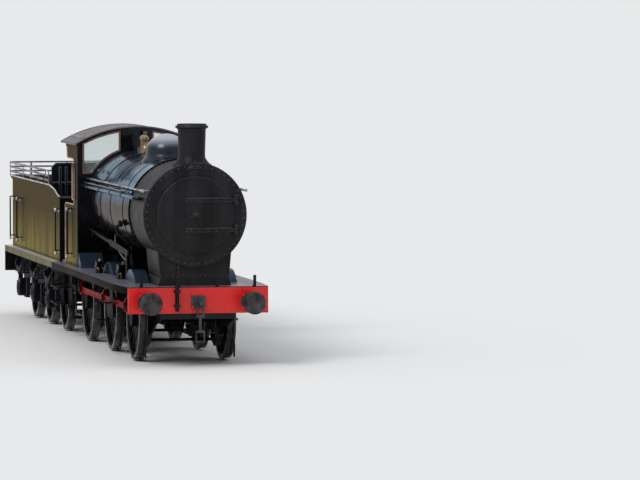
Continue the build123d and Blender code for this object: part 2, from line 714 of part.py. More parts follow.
def brake_set(x, radius, centre_z, hang_y, hang_top, beam_z, way):
    """A pair of blocks and hangers joined by a cross beam, on one side of a wheel pair."""
    near = radius + brake_gap
    shoe = (Circle(near + 62) - Circle(near)) & (Pos(way * near, 0) * Rectangle(400, 330))
    block_y = (tyre_inner + 44, tyre_outer - 6)
    pieces = None
    hanger_x = way * (near + 38)
    for side in (1, -1):
        shoe_solid = Pos(x, 0, centre_z) * slab_y(shoe, min(side * block_y[0], side * block_y[1]),
                                                  max(side * block_y[0], side * block_y[1]))
        hanger = block(x + hanger_x - 28, x + hanger_x + 28, side * (hang_y - 14), side * (hang_y + 14), beam_z, hang_top)
        one = shoe_solid + hanger
        pieces = one if pieces is None else pieces + one
    return pieces + rod_y(x + hanger_x, beam_z, 26, -hang_y - 14, hang_y + 14)


def engine_brake_gear():
    beam_z = rail + 270.0
    whole = None
    for x in driver_x.values():
        one = brake_set(x, driver_radius, axle_z, 750, rail + 1090, beam_z, -1)
        hanger_x = x - driver_radius - brake_gap - 38
        for side in (1, -1):
            one += rod_y(hanger_x, rail + 1060, 24, side * frame_outer, side * 764)
        whole = one if whole is None else whole + one
    back = x_trailing - driver_radius - 46
    front = x_lead - driver_radius - 46
    for side in (1, -1):
        whole += block(back, front, side * 515 - 13, side * 515 + 13, beam_z - 22, beam_z + 22)
    return whole


keep("cylinder_block", cylinder_block())
keep("slide_bars", slide_bars())
keep("engine_axleboxes", *(engine_axlebox(x, side) for x in driver_x.values() for side in (1, -1)))
keep("engine_springs", *(engine_spring(x, side) for x in driver_x.values() for side in (1, -1)))
keep("engine_brake_gear", engine_brake_gear())
keep("ashpan", slab_y(outline((x_barrel_rear - 60, firebox_bottom), (x_firebox_rear + 60, firebox_bottom),
                              (x_firebox_rear + 60, firebox_bottom - 80), (x_trailing + 330, firebox_bottom - 130),
                              (x_trailing + 290, rail + 640), (x_barrel_rear - 60, rail + 640)), -505, 505))


def step(x, width, treads, side, y_hang, y_out, top):
    """A hanging plate with treads, from the underside of the plate."""
    low = rail + treads[-1]
    whole = block(x - width / 2, x + width / 2, y_hang, y_hang + 12, low - 30, top)
    for z in treads:
        whole += block(x - width / 2, x + width / 2, y_hang + 11, y_out, rail + z - 10, rail + z)
        whole += block(x - width / 2, x + width / 2, y_out - 10, y_out, rail + z - 36, rail + z)
    return whole if side > 0 else mirror(whole, about=Plane.XZ)


keep("engine_steps", *(step(x, width, (870, 580), side, 945, 1225, frame_top) for x, width in ((x_lead - 1500, 330),
                                                                                      (x_rear + 330, 380))
                       for side in (1, -1)))


# Cab
roof_apex = eave_z + roof_rise
roof_outer = (roof_half ** 2 + roof_rise ** 2) / (2 * roof_rise)
roof_centre = roof_apex - roof_outer
roof_inner = roof_outer - roof_thickness


def under_roof(y):
    return roof_centre + half_chord(roof_inner, y)


window_outer = 940.0
window_inner = 310.0
window_sill = rail + 2990.0
window_gap = 62.0
window_drop = 70.0


def window_outline(grow=0.0):
    """The front window on the +Y side, bounded by the roof's curve above and the firebox's below."""
    area = (Pos(0, roof_centre) * Circle(roof_inner - window_drop + grow)) & (
        Pos((window_outer + window_inner) / 2, window_sill + 500 - grow) *
        Rectangle(window_outer - window_inner + 2 * grow, 1000))
    return area - Pos(0, boiler_z) * Circle(firebox_radius + window_gap - grow)


def cab_front_sheet():
    sheet_outline = (Pos(0, roof_centre) * Circle(roof_inner)) & (
        Pos(0, plate_top + 1500) * Rectangle(2 * cab_inner, 3000))
    sheet_outline -= firebox_outline()
    face = slab_x(sheet_outline, x_cab - sheet, x_cab)
    for side in (1, -1):
        opening = slab_x(window_outline(), x_cab - sheet - 1, x_cab + 1)
        face -= opening if side > 0 else mirror(opening, about=Plane.XZ)
        face -= Pos(x_trailing, 0, 0) * slab_y(Pos(0, axle_z) * Circle(trailing_splasher_radius),
                                               *sorted((side * splasher_inner, side * 1200)))
    return face - block(x_cab - 20, x_cab + 10, -reach_y - 25, -reach_y + 25, rail + 1860, rail + 2060)


def cab_side():
    x0, z0 = x_cab, plate_top
    corner = 95.0
    lower_rear = x_lead - cab_lower_rear
    pillar = x_lead - cab_pillar_rear
    upper_rear = x_lead - cab_upper_rear
    top = under_roof(cab_half)
    face = outline((x0, z0), (lower_rear, z0), (lower_rear, cab_lower_top), (pillar, cab_lower_top),
                   (pillar, cab_upper_bottom), (upper_rear, cab_upper_bottom), (upper_rear - 110, top), (x0, top))
    # rounded inner corners of the side opening
    for cx, cz, sx, sz in ((pillar, cab_lower_top, -1, 1), (pillar, cab_upper_bottom, -1, -1)):
        square = Pos(cx + sx * corner / 2, cz + sz * corner / 2) * Rectangle(corner, corner)
        face += square - Pos(cx + sx * corner, cz + sz * corner) * Circle(corner)
    for cx, cz, r, sz in ((lower_rear, cab_lower_top, 60, -1), (upper_rear, cab_upper_bottom, 130, 1)):
        trim = Pos(cx + r / 2, cz + sz * r / 2) * Rectangle(r, r)
        face -= trim - Pos(cx + r, cz + sz * r) * Circle(r)
    return slab_y(face, cab_inner, cab_half)


def cab_roof():
    arc = (Pos(0, roof_centre) * (Circle(roof_outer) - Circle(roof_inner))) & (
        Pos(0, roof_apex) * Rectangle(2 * roof_half, 4 * roof_rise))
    whole = slab_x(arc, x_lead - roof_rear, x_lead - roof_front)
    for x in (x_lead - roof_front, x_lead - roof_rear + 26):
        rib = (Pos(0, roof_centre) * (Circle(roof_outer + 9) - Circle(roof_outer - 1))) & (
            Pos(0, roof_apex) * Rectangle(2 * roof_half, 4 * roof_rise))
        whole += slab_x(rib, x - 26, x)
    return whole


def cab_floor():
    top = plate_top + 42
    rear = x_trailing - half_chord(trailing_splasher_radius, plate_top - axle_z) - 4
    boards = block(x_rear, rear, -cab_inner, cab_inner, plate_top, top)
    boards += block(rear, x_firebox_rear - 2, -firebox_half - 18, firebox_half + 18, plate_top, top)
    seats = []
    for side in (1, -1):
        seat = block(x_lead - 5520, x_lead - 5980, side * 740, side * (cab_inner - 2), top, rail + 1900)
        seat -= Pos(x_trailing, 0, 0) * slab_y(Pos(0, axle_z) * Circle(trailing_splasher_radius), -1100, 1100)
        seats.append(seat)
    return [boards, *seats]


def cab_controls():
    """Regulator, gauges and fire door on the backhead, and the reverser stand on the right."""
    x = x_firebox_rear
    z = boiler_z
    door = outline((-190, z - 700), (190, z - 700), (190, z - 440), (120, z - 380), (-120, z - 380), (-190, z - 440))
    fire_door = slab_x(door, x - 34, x)
    regulator = rod_x(0, z + 260, 60, x - 60, x) + rod_x(0, z + 260, 22, x - 120, x)
    regulator += bar((x - 110, 0, z + 260), (x - 110, -330, z + 130), 14)
    regulator += bar((x - 110, 0, z + 260), (x - 110, 330, z + 390), 14)
    gauges = rod_x(0, z + 560, 85, x - 50, x)
    water = block(x - 70, x, 400, 440, z - 60, z + 330) + rod_z(x - 80, 420, 16, z - 20, z + 290)
    feed = fuse(*(rod_x(y, z - 200, 34, x - 90, x) + rod_x(y, z - 200, 58, x - 105, x - 85) for y in (-480, 480)))
    reverser = block(x - 60, x - 190, -860, -740, rail + 1400, rail + 2060)
    reverser -= Pos(x_trailing, 0, 0) * slab_y(Pos(0, axle_z) * Circle(trailing_splasher_radius), -1100, 0)
    reverser += rod_y(x - 125, rail + 2090, 40, -900, -740) + rod_x(-800, rail + 2090, 22, x - 330, x - 60)
    reverser += rod_x(-800, rail + 2090, 150, x - 330, x - 312)
    return [fire_door, regulator, gauges, water, feed, reverser]


cab_rail_y = cab_half + 52


def cab_handrails():
    pieces = []
    for side in (1, -1):
        for x, z0, z1 in ((x_lead - 5520, rail + 1490, rail + 2330),):
            one = rod_z(x, side * cab_rail_y, 15, z0, z1)
            for z in (z0 + 20, z1 - 20):
                one += rod_y(x, z, 13, side * cab_half, side * cab_rail_y)
            pieces.append(one)
    return pieces


keep("cab_front_sheet", cab_front_sheet())
keep("cab_side_sheets", *both(cab_side()))
keep("cab_roof", cab_roof())
keep("cab_floor", *cab_floor())
keep("cab_controls", *cab_controls())
keep("cab_handrails", *cab_handrails())
keep("spectacle_frames", *both(slab_x(window_outline(26) - window_outline(-6), x_cab, x_cab + 12)))
keep("spectacle_glass", *both(slab_x(window_outline(), x_cab - 9, x_cab - 3)))


# Drawbar and fall plate between engine and tender
tender_pin_x = x_tender_front - 180.0
drawbar_z = rail + 960.0
drawbar_radius = 36.0


def drawbar():
    whole = block(x_rear + 30, tender_pin_x, -55, 55, drawbar_z - 30, drawbar_z + 30)
    whole += rod_z(tender_pin_x, 0, 85, drawbar_z - 30, drawbar_z + 30)
    return whole - rod_z(tender_pin_x, 0, drawbar_radius + fit, drawbar_z - 31, drawbar_z + 31)


keep("drawbar", drawbar())
keep("fall_plate", block(x_tender_front - 70, x_rear + 110, -600, 600, plate_top + 42, plate_top + 52)
     + block(x_rear, x_rear + 110, -600, 600, plate_top + 42, plate_top + 60))


# Tender
sole_top = rail + 1300.0
sole_under = sole_top - 12.0
tender_half = 1200.0
tender_frame_inner = 960.0
tender_frame_outer = 985.0
tender_frame_bottom = rail + 800.0
tender_beam_bottom = rail + 805.0
guard_bottom = rail + 400.0
tender_horn_half = 128.0
tender_box_top = tender_axle_z + 165.0
tender_box_bottom = rail + 385.0
tank_half = 1070.0
tank_rear = x_tender_rear + 170.0
tank_deck = rail + 2450.0
tank_top = rail + 2655.0
tank_flare = 50.0
tank_curve_length = 1120.0
tank_curve_fall = 175.0
flare_height = 85.0
coal_half = 700.0
bulkhead_x = x_tender_front - 1100.0
coal_rear = x_tender_front - 4200.0
water_lid_x = tank_rear + 650.0


def tender_frames():
    side = outline((x_tender_front, tender_frame_bottom), (x_tender_rear + 30, tender_frame_bottom),
                   (x_tender_rear + 30, sole_under), (x_tender_front, sole_under))
    for x in x_tender_axles:
        side += outline((x - 420, tender_frame_bottom), (x - tender_horn_half - 75, guard_bottom),
                        (x + tender_horn_half + 75, guard_bottom), (x + 420, tender_frame_bottom))
        side -= Pos(x, (guard_bottom + tender_box_top) / 2) * Rectangle(2 * tender_horn_half,
                                                                       tender_box_top - guard_bottom + 2)
    for x in (x_tender_axles[0] - tender_axle_spacing / 2, x_tender_axles[1] - tender_axle_spacing / 2):
        side -= Pos(x, tender_frame_bottom + 215) * RectangleRounded(760, 210, 90)
    plates = both(slab_y(side, tender_frame_inner, tender_frame_outer))
    drag = block(x_tender_front - 330, x_tender_front, -tender_frame_inner, tender_frame_inner, rail + 880, sole_under)
    drag -= block(x_tender_front - 300, x_tender_front + 1, -330, 330, drawbar_z - 62, drawbar_z + 62)
    drag += rod_z(tender_pin_x, 0, drawbar_radius, drawbar_z - 110, drawbar_z + 80)
    beam = block(x_tender_rear, x_tender_rear + 30, -tender_half, tender_half, tender_beam_bottom, sole_under)
    webs = [block(x - 12, x + 12, -tender_frame_inner, tender_frame_inner, rail + 1190, sole_under)
            for x in (x_tender_axles[0] - 960, x_tender_axles[1] - 960)]
    webs.append(block(x_tender_rear + 29, x_tender_rear + 330, -300, 300, rail + 930, sole_under))
    stays = [block(x - tender_horn_half - 60, x + tender_horn_half + 60, side * (tender_frame_inner - 20),
                   side * (tender_frame_outer + 30), guard_bottom - 30, guard_bottom)
             for x in x_tender_axles for side in (1, -1)]
    return fuse(*plates, drag, beam, *webs, *stays)


def tender_plate():
    whole = block(x_tender_rear, x_tender_front, -tender_half, tender_half, sole_under, sole_top)
    for side in (1, -1):
        whole += block(x_tender_rear + 30, x_tender_front, side * (tender_half - valance_thickness),
                       side * tender_half, sole_under - valance_depth, sole_under)
    return whole


def loft_box(z0, z1, half0, half1, rear0, rear1, front):
    low = Plane.XY.offset(z0) * Pos((rear0 + front) / 2, 0) * Rectangle(front - rear0, 2 * half0)
    high = Plane.XY.offset(z1) * Pos((rear1 + front) / 2, 0) * Rectangle(front - rear1, 2 * half1)
    return loft([low, high], ruled=True)


def tender_tank():
    front = x_tender_front - 15
    body = block(tank_rear, front, -tank_half, tank_half, sole_top, tank_top - flare_height)
    coping = loft_box(tank_top - flare_height, tank_top, tank_half, tank_half + tank_flare, tank_rear,
                      tank_rear - tank_flare, front)
    whole = body + coping
    inside = sheet
    whole -= block(tank_rear + inside, front + 10, -tank_half + inside, tank_half - inside, tank_deck, tank_top + 50)
    whole -= loft_box(tank_top - flare_height, tank_top + 1, tank_half - inside, tank_half + tank_flare - inside,
                      tank_rear + inside, tank_rear - tank_flare + inside, front + 10)
    space = outline((front + 1, sole_top), (bulkhead_x, sole_top), (bulkhead_x, rail + 1700),
                    (coal_rear, rail + 2050), (coal_rear - 250, tank_top + 50), (front + 1, tank_top + 50))
    whole -= slab_y(space, -coal_half, coal_half)
    # The top edge drops to the front in a reverse curve of two arcs
    run, fall = tank_curve_length, tank_curve_fall
    start = (x_tender_front - run, tank_top)
    half = (x_tender_front - run / 2, tank_top - fall / 2)
    end = (x_tender_front, tank_top - fall)
    edge = (ThreePointArc(start, (start[0] + run / 4, start[1] - fall / 8), half)
            + ThreePointArc(half, (end[0] - run / 4, end[1] + fall / 8), end)
            + Polyline(end, (x_tender_front + 20, tank_top - fall), (x_tender_front + 20, tank_top + 60),
                       (start[0], tank_top + 60), start))
    whole -= slab_y(make_face(edge), -1300, 1300)
    neck = rod_z(water_lid_x, 0, 235, tank_deck - 5, tank_deck + 230) - rod_z(water_lid_x, 0, 212, tank_deck - 60,
                                                                            tank_deck + 231)
    lug = block(water_lid_x - 300, water_lid_x - 225, -60, 60, tank_deck - 5, tank_deck + 210)
    lug += rod_y(water_lid_x - 292, tank_deck + 246, 12, -60, 60) + block(water_lid_x - 304, water_lid_x - 280, -60,
                                                                          -38, tank_deck + 200, tank_deck + 246)
    lug += block(water_lid_x - 304, water_lid_x - 280, 38, 60, tank_deck + 200, tank_deck + 246)
    well = rod_z(water_lid_x, 0, 212, tank_deck - 700, tank_deck + 10)
    return (whole - well) + neck + lug


def tender_lid():
    base = tank_deck + 231.5
    whole = rod_z(water_lid_x, 0, 250, base, base + 22) + rod_z(water_lid_x, 0, 150, base + 20, base + 34)
    whole += block(water_lid_x - 300, water_lid_x - 200, -34, 34, base, base + 30)
    whole += rod_y(water_lid_x - 292, tank_deck + 246, 26, -34, 34)
    whole -= rod_y(water_lid_x - 292, tank_deck + 246, 12 + fit, -35, 35)
    return whole + block(water_lid_x + 235, water_lid_x + 320, -14, 14, base + 4, base + 18)


def coal_rails():
    """Three rails a side on posts, joined round the back, their front ends bent down."""
    whole = None
    y = tank_half + tank_flare - 6
    rear = tank_rear - tank_flare + 6
    front = x_tender_front - 1060
    for i, z in enumerate((tank_top + 82, tank_top + 168, tank_top + 254)):
        run = block(rear, front - 90, y - 9, y + 9, z - 16, z + 16)
        turn = (Circle(106) - Circle(74)) & (Pos(100, 100) * Rectangle(200, 200))
        bend = Pos(front - 90, 0, z - 90) * slab_y(turn, y - 9, y + 9)
        foot = block(front - 16, front + 16, y - 9, y + 9, tank_top, z - 90) if z - 90 > tank_top else None
        side = run + bend + foot if foot else run + (bend & block(-1e4, 1e4, 0, 2000, tank_top, tank_top + 900))
        for way in (1, -1):
            one = side if way > 0 else mirror(side, about=Plane.XZ)
            whole = one if whole is None else whole + one
        whole += block(rear - 9, rear + 9, -y, y, z - 16, z + 16)
    for side in (1, -1):
        for x in (front - 420, front - 1400, front - 2400, front - 3400, front - 4400, rear + 60):
            whole += block(x - 16, x + 16, side * (y - 6), side * (y + 6), tank_top, tank_top + 262)
    for yy in (-700, 0, 700):
        whole += block(rear - 6, rear + 6, yy - 16, yy + 16, tank_top, tank_top + 262)
    return whole


def tender_bulkhead():
    """Front coal plate with its shovelling hole, ribs and top rail, and two water columns before it."""
    wide = tank_half - sheet
    top = rail + 3045.0
    corner = 60.0
    face = outline((-coal_half, sole_top + 1), (coal_half, sole_top + 1), (coal_half, tank_deck), (wide, tank_deck),
                   (wide, top - corner), (wide - corner, top), (-wide + corner, top), (-wide, top - corner), (-wide, tank_deck),
                   (-coal_half, tank_deck))
    face -= Pos(0, rail + 1980) * Rectangle(620, 560)
    whole = slab_x(face, bulkhead_x, bulkhead_x + 14)
    for y in (-900, -790, -345, 345, 790, 900):
        low = tank_deck + 1 if abs(y) > coal_half else sole_top + 1
        whole += block(bulkhead_x + 13, bulkhead_x + 55, y - 20, y + 20, low, top - 60)
    whole += block(bulkhead_x - 20, bulkhead_x + 40, -wide + 70, wide - 70, top - 24, top + 12)
    whole += block(bulkhead_x + 13, bulkhead_x + 40, -wide + 30, wide - 30, rail + 2660, rail + 2700)
    columns = []
    for side in (1, -1):
        column = rod_z(x_tender_front - 210, side * 600, 34, sole_top, rail + 2180)
        column += rod_z(x_tender_front - 210, side * 600, 70, sole_top, sole_top + 40)
        column += rod_x(side * 600, rail + 2180, 16, x_tender_front - 320, x_tender_front - 100)
        columns.append(column)
    return [whole, *columns]


def tender_axlebox(x, side):
    y0, y1 = tender_frame_inner - 30, box_outer
    whole = block(x - tender_horn_half, x + tender_horn_half, y0, y1 - 30, tender_box_bottom + 20, tender_box_top - 5)
    whole += block(x - tender_horn_half - 32, x + tender_horn_half + 32, tender_frame_outer, tender_frame_outer + 22,
                   guard_bottom + 10, tender_box_top - 5)
    cover = outline((y0 + 60, tender_box_bottom + 20), (y1 - 20, tender_box_bottom + 20), (y1, tender_axle_z - 60),
                    (y1 - 8, tender_axle_z + 80), (y1 - 45, tender_box_top - 40), (y1 - 60, tender_box_top - 5),
                    (y0 + 60, tender_box_top - 5))
    whole += slab_x(cover, x - tender_horn_half + 4, x + tender_horn_half - 4)
    whole -= rod_y(x, tender_axle_z, journal_radius + fit, y0 - 1, journal_end + 6)
    return whole if side > 0 else mirror(whole, about=Plane.XZ)


def tender_spring(x, side):
    span, rise, leaves, thickness = 470.0, 130.0, 8, 13.0
    y0, y1 = tender_frame_outer + 75, tender_frame_outer + 165
    base = tender_box_top + 95
    whole = Pos(x, 0, base) * leaf_spring(span, rise, leaves, thickness, y0, y1)
    whole += block(x - 50, x + 50, y0 - 6, y1 + 6, base - 16, base + leaves * thickness + 20)
    whole += block(x - 38, x + 38, y0, y0 + 80, tender_box_top - 5, base - 10)
    for way in (-1, 1):
        end = x + way * (span - 22)
        low = base + leaves * thickness + rise - 190
        whole += block(end - 14, end + 14, y0 + 26, y1 - 26, low, base + leaves * thickness + rise + 12)
        whole += block(end - 38, end + 38, tender_frame_outer, y1 - 10, low - 34, low)
    return whole if side > 0 else mirror(whole, about=Plane.XZ)


def tender_brake_gear():
    whole = None
    beam_z = rail + 250.0
    for x in x_tender_axles:
        one = brake_set(x, tender_wheel_radius, tender_axle_z, 750, sole_under - 96, beam_z, 1)
        hanger_x = x + tender_wheel_radius + brake_gap + 38
        for side in (1, -1):
            one += block(hanger_x - 30, hanger_x + 30, side * 690, side * 850, sole_under - 100, sole_under)
        whole = one if whole is None else whole + one
    for side in (1, -1):
        whole += block(x_tender_axles[2] + 620, x_tender_axles[0] + 620, side * 420 - 13, side * 420 + 13,
                       beam_z - 22, beam_z + 22)
    return whole


tank_rail_y = tank_half + 65
tank_rails_x = (x_tender_front - 80, tank_rear + 1050, tank_rear + 130)


def tender_handrails():
    pieces = []
    for side in (1, -1):
        for x in tank_rails_x:
            one = rod_z(x, side * tank_rail_y, 14, rail + 1480, rail + 2270)
            for z in (rail + 1500, rail + 2250):
                one += rod_y(x, z, 12, side * tank_half, side * tank_rail_y)
            pieces.append(one)
    return pieces


keep("tender_frames", tender_frames())
keep("tender_plate", tender_plate())
keep("tender_tank", tender_tank())
keep("tender_filler_lid", tender_lid())
keep("tender_coal_rails", coal_rails())
keep("tender_bulkhead", *tender_bulkhead())
keep("tender_axleboxes", *(tender_axlebox(x, side) for x in x_tender_axles for side in (1, -1)))
keep("tender_springs", *(tender_spring(x, side) for x in x_tender_axles for side in (1, -1)))
keep("tender_brake_gear", tender_brake_gear())
keep("tender_buffers", *(buffer(x_tender_rear, -1, side) for side in (1, -1)))
keep("tender_drawhook", drawhook(x_tender_rear, -1))
keep("tender_handrails", *tender_handrails())
keep("tender_steps", *(step(x_tender_front - 220, 380, (870, 580), side, 990, 1185, sole_under) for side in (1, -1)))
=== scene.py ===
import json
import math

import bmesh
import bpy
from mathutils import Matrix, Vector


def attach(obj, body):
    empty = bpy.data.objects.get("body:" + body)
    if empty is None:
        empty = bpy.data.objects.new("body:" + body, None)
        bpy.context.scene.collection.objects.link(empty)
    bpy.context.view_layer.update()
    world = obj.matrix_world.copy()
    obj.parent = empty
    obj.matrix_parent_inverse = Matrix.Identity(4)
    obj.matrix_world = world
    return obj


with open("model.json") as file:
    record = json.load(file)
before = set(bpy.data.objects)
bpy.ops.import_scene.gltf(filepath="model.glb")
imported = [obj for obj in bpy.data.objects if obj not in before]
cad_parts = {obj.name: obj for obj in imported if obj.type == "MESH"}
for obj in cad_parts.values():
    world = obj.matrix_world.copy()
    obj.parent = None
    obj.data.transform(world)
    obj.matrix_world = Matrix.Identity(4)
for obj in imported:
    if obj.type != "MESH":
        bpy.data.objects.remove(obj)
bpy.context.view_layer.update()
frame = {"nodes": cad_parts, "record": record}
nodes = frame["nodes"]
print("loaded", len(nodes), "nodes")

# Measures that several pieces share. Metres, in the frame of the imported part:
# +X forward, +Y to the locomotive's left, +Z up.
place = {
    "plateTop": 1.334,       # running plate
    "cabHalf": 1.060,        # outer face of the cab's side sheets
    "tankHalf": 1.070,       # outer face of the tender's tank
    "tankRear": -7.280,
    "boilerZ": 2.508,        # axis of the boiler
    "barrelRadius": 0.880,
    "smokeFront": 7.150,
    "smokeRadius": 0.862,
    "beamX": 7.450,          # outer face of either buffer beam
    "bufferY": 0.8635,
    "bufferZ": 1.082,
}


# Node helpers for the materials

def shader(name, colour, roughness, metallic=0.0):
    made = bpy.data.materials.new(name)
    made.use_nodes = True
    tree = made.node_tree
    bsdf = tree.nodes["Principled BSDF"]
    bsdf.inputs["Base Color"].default_value = (*colour, 1)
    bsdf.inputs["Roughness"].default_value = roughness
    bsdf.inputs["Metallic"].default_value = metallic
    return made, tree, bsdf


# A colour or a number is set on the socket, and anything else is linked to it.
def feed(tree, value, socket):
    if isinstance(value, tuple):
        socket.default_value = (*value, 1)
    elif isinstance(value, (int, float)):
        socket.default_value = value
    else:
        tree.links.new(value, socket)


def noiseNode(tree, scale, detail=4.0, stretch=(1, 1, 1)):
    coords = tree.nodes.new("ShaderNodeTexCoord")
    mapping = tree.nodes.new("ShaderNodeMapping")
    mapping.inputs["Scale"].default_value = stretch
    noise = tree.nodes.new("ShaderNodeTexNoise")
    noise.inputs["Scale"].default_value = scale
    noise.inputs["Detail"].default_value = detail
    noise.inputs["Roughness"].default_value = 0.55
    tree.links.new(coords.outputs["Object"], mapping.inputs["Vector"])
    tree.links.new(mapping.outputs["Vector"], noise.inputs["Vector"])
    return noise.outputs["Fac"]


# Colour stops, each (position, colour)
def ramp(tree, source, stops):
    node = tree.nodes.new("ShaderNodeValToRGB")
    bar = node.color_ramp
    for element, (at, colour) in zip(bar.elements, (stops[0], stops[-1])):
        element.position = at
        element.color = (*colour, 1)
    for at, colour in stops[1:-1]:
        bar.elements.new(at).color = (*colour, 1)
    tree.links.new(source, node.inputs["Fac"])
    return node.outputs["Color"]


def spread(tree, source, low, high, fromLow, fromHigh):
    node = tree.nodes.new("ShaderNodeMapRange")
    node.inputs["From Min"].default_value = fromLow
    node.inputs["From Max"].default_value = fromHigh
    node.inputs["To Min"].default_value = low
    node.inputs["To Max"].default_value = high
    tree.links.new(source, node.inputs["Value"])
    return node.outputs["Result"]


# Inputs 6 and 7 and output 2 of this node are its colours.
def mixColour(tree, factor, first, second):
    node = tree.nodes.new("ShaderNodeMix")
    node.data_type = "RGBA"
    feed(tree, factor, node.inputs[0])
    feed(tree, first, node.inputs[6])
    feed(tree, second, node.inputs[7])
    return node.outputs[2]


def mathNode(tree, operation, first, second=0.0):
    node = tree.nodes.new("ShaderNodeMath")
    node.operation = operation
    feed(tree, first, node.inputs[0])
    feed(tree, second, node.inputs[1])
    return node.outputs["Value"]


# X, Y and Z of a point in the part's frame
def pointAxes(tree):
    coords = tree.nodes.new("ShaderNodeTexCoord")
    split = tree.nodes.new("ShaderNodeSeparateXYZ")
    tree.links.new(coords.outputs["Object"], split.inputs["Vector"])
    return split.outputs


# X, Y and Z of the way a face looks
def faceAxes(tree, kind="Normal"):
    shape = tree.nodes.new("ShaderNodeNewGeometry")
    split = tree.nodes.new("ShaderNodeSeparateXYZ")
    tree.links.new(shape.outputs[kind], split.inputs["Vector"])
    return split.outputs


# 1 below the first height and 0 above the second
def lowShare(tree, low, high):
    return spread(tree, pointAxes(tree)["Z"], 1.0, 0.0, low, high)


# 0 below the first height and 1 above the second
def highShare(tree, low, high):
    return spread(tree, pointAxes(tree)["Z"], 0.0, 1.0, low, high)


# 0 on upright faces and 1 on faces that look up
def topLit(tree, low, high):
    return spread(tree, faceAxes(tree)["Z"], 0.0, 1.0, low, high)


# A low share that soft streaks make larger and smaller
def streakedShare(tree, streak, least, low, high):
    noise = noiseNode(tree, 1.0, 6.0, streak)
    most, noiseLow, noiseHigh = 1.35, 0.36, 0.62
    share = mathNode(tree, "MULTIPLY", lowShare(tree, low, high),
                     spread(tree, noise, least, most, noiseLow, noiseHigh))
    share.node.use_clamp = True
    return share


def addBump(tree, bsdf, source, strength, distance=0.004, normal=None):
    node = tree.nodes.new("ShaderNodeBump")
    if normal:
        tree.links.new(normal, node.inputs["Normal"])
    node.inputs["Strength"].default_value = strength
    node.inputs["Distance"].default_value = distance
    tree.links.new(source, node.inputs["Height"])
    tree.links.new(node.outputs["Normal"], bsdf.inputs["Normal"])


# Shows the first finish where the factor is 1 and the other where it is 0.
def mixFinish(tree, first, other, factor):
    mix = tree.nodes.new("ShaderNodeMixShader")
    tree.links.new(factor, mix.inputs[0])
    tree.links.new(other.outputs[0], mix.inputs[1])
    tree.links.new(first.outputs[0], mix.inputs[2])
    tree.links.new(mix.outputs["Shader"], tree.nodes["Material Output"].inputs["Surface"])
    return mix


# Parts of a painted finish

# Edges are painted lighter, partly as wear and partly as a painted highlight, and a small rounding catches the
# light along them.
def roundedEdges(tree, colour, look):
    bevel = tree.nodes.new("ShaderNodeBevel")
    bevel.samples = 4
    bevel.inputs["Radius"].default_value = look["edge"]
    shape = tree.nodes.new("ShaderNodeNewGeometry")
    dot = tree.nodes.new("ShaderNodeVectorMath")
    dot.operation = "DOT_PRODUCT"
    tree.links.new(bevel.outputs["Normal"], dot.inputs[0])
    tree.links.new(shape.outputs["Normal"], dot.inputs[1])
    turned, flat = 0.72, 0.97
    near = spread(tree, dot.outputs["Value"], 1.0, 0.0, turned, flat)
    return mixColour(tree, near, colour, look["edgeWearAndHighlight"]), bevel.outputs["Normal"]


# A tinted gloss that grows as a face turns away, with one tint low down and another above; the tints are a
# painted reflection of the surroundings
def addPaintedSheen(tree, bsdf, paintedSheen):
    gloss = tree.nodes.new("ShaderNodeBsdfAnisotropic")
    gloss.inputs["Roughness"].default_value = paintedSheen["roughness"]
    share = streakedShare(tree, paintedSheen["streak"], paintedSheen["streakLow"], *paintedSheen["fade"])
    tree.links.new(mixColour(tree, share, paintedSheen["high"], paintedSheen["low"]), gloss.inputs["Color"])
    turned = tree.nodes.new("ShaderNodeFresnel")
    turned.inputs["IOR"].default_value = 1.5
    waves = bsdf.inputs["Normal"].links[0].from_socket
    tree.links.new(waves, gloss.inputs["Normal"])
    tree.links.new(waves, turned.inputs["Normal"])
    return mixFinish(tree, gloss, bsdf, turned.outputs["Fac"])


def plainPaint(tree, side):
    node = tree.nodes.new("ShaderNodeBsdfPrincipled")
    node.inputs["Base Color"].default_value = (*side["colour"], 1)
    node.inputs["Roughness"].default_value = side["roughness"]
    node.inputs["Metallic"].default_value = side["metallic"]
    return node


# The upright faces of a plate have the finish of the sheets above it: a near-black gloss whose streaky tints
# are a painted reflection.
def addSides(tree, surface, side):
    level = mathNode(tree, "GREATER_THAN", mathNode(tree, "ABSOLUTE", faceAxes(tree, "True Normal")["Z"]), 0.5)
    other = plainPaint(tree, side)
    streak = noiseNode(tree, 1.0, 6.0, side["streak"])
    tree.links.new(mixColour(tree, spread(tree, streak, 0.0, 1.0, 0.35, 0.65), side["tint"], side["tintOther"]),
                   other.inputs["Specular Tint"])
    return mixFinish(tree, surface, other, level)


# The cab sheets and the tank: their inner faces are dull and dirty, and the tank's front plate is black paint
# darkened further, with almost no gloss, as painted shade in the gap between cab and tender.
innerFaces = {
    "colour": (0.030, 0.027, 0.024), "roughness": 0.75, "metallic": 0.0, "dirt": 0.35, "specular": 0.25,
    "outerY": 1.0575, "outerX": -7.2725,      # faces past these are outer ones
    "frontX": -1.035, "frontReach": 0.010, "frontPaintedShade": (0.003, 0.003, 0.004), "frontSpecular": 0.03,
}


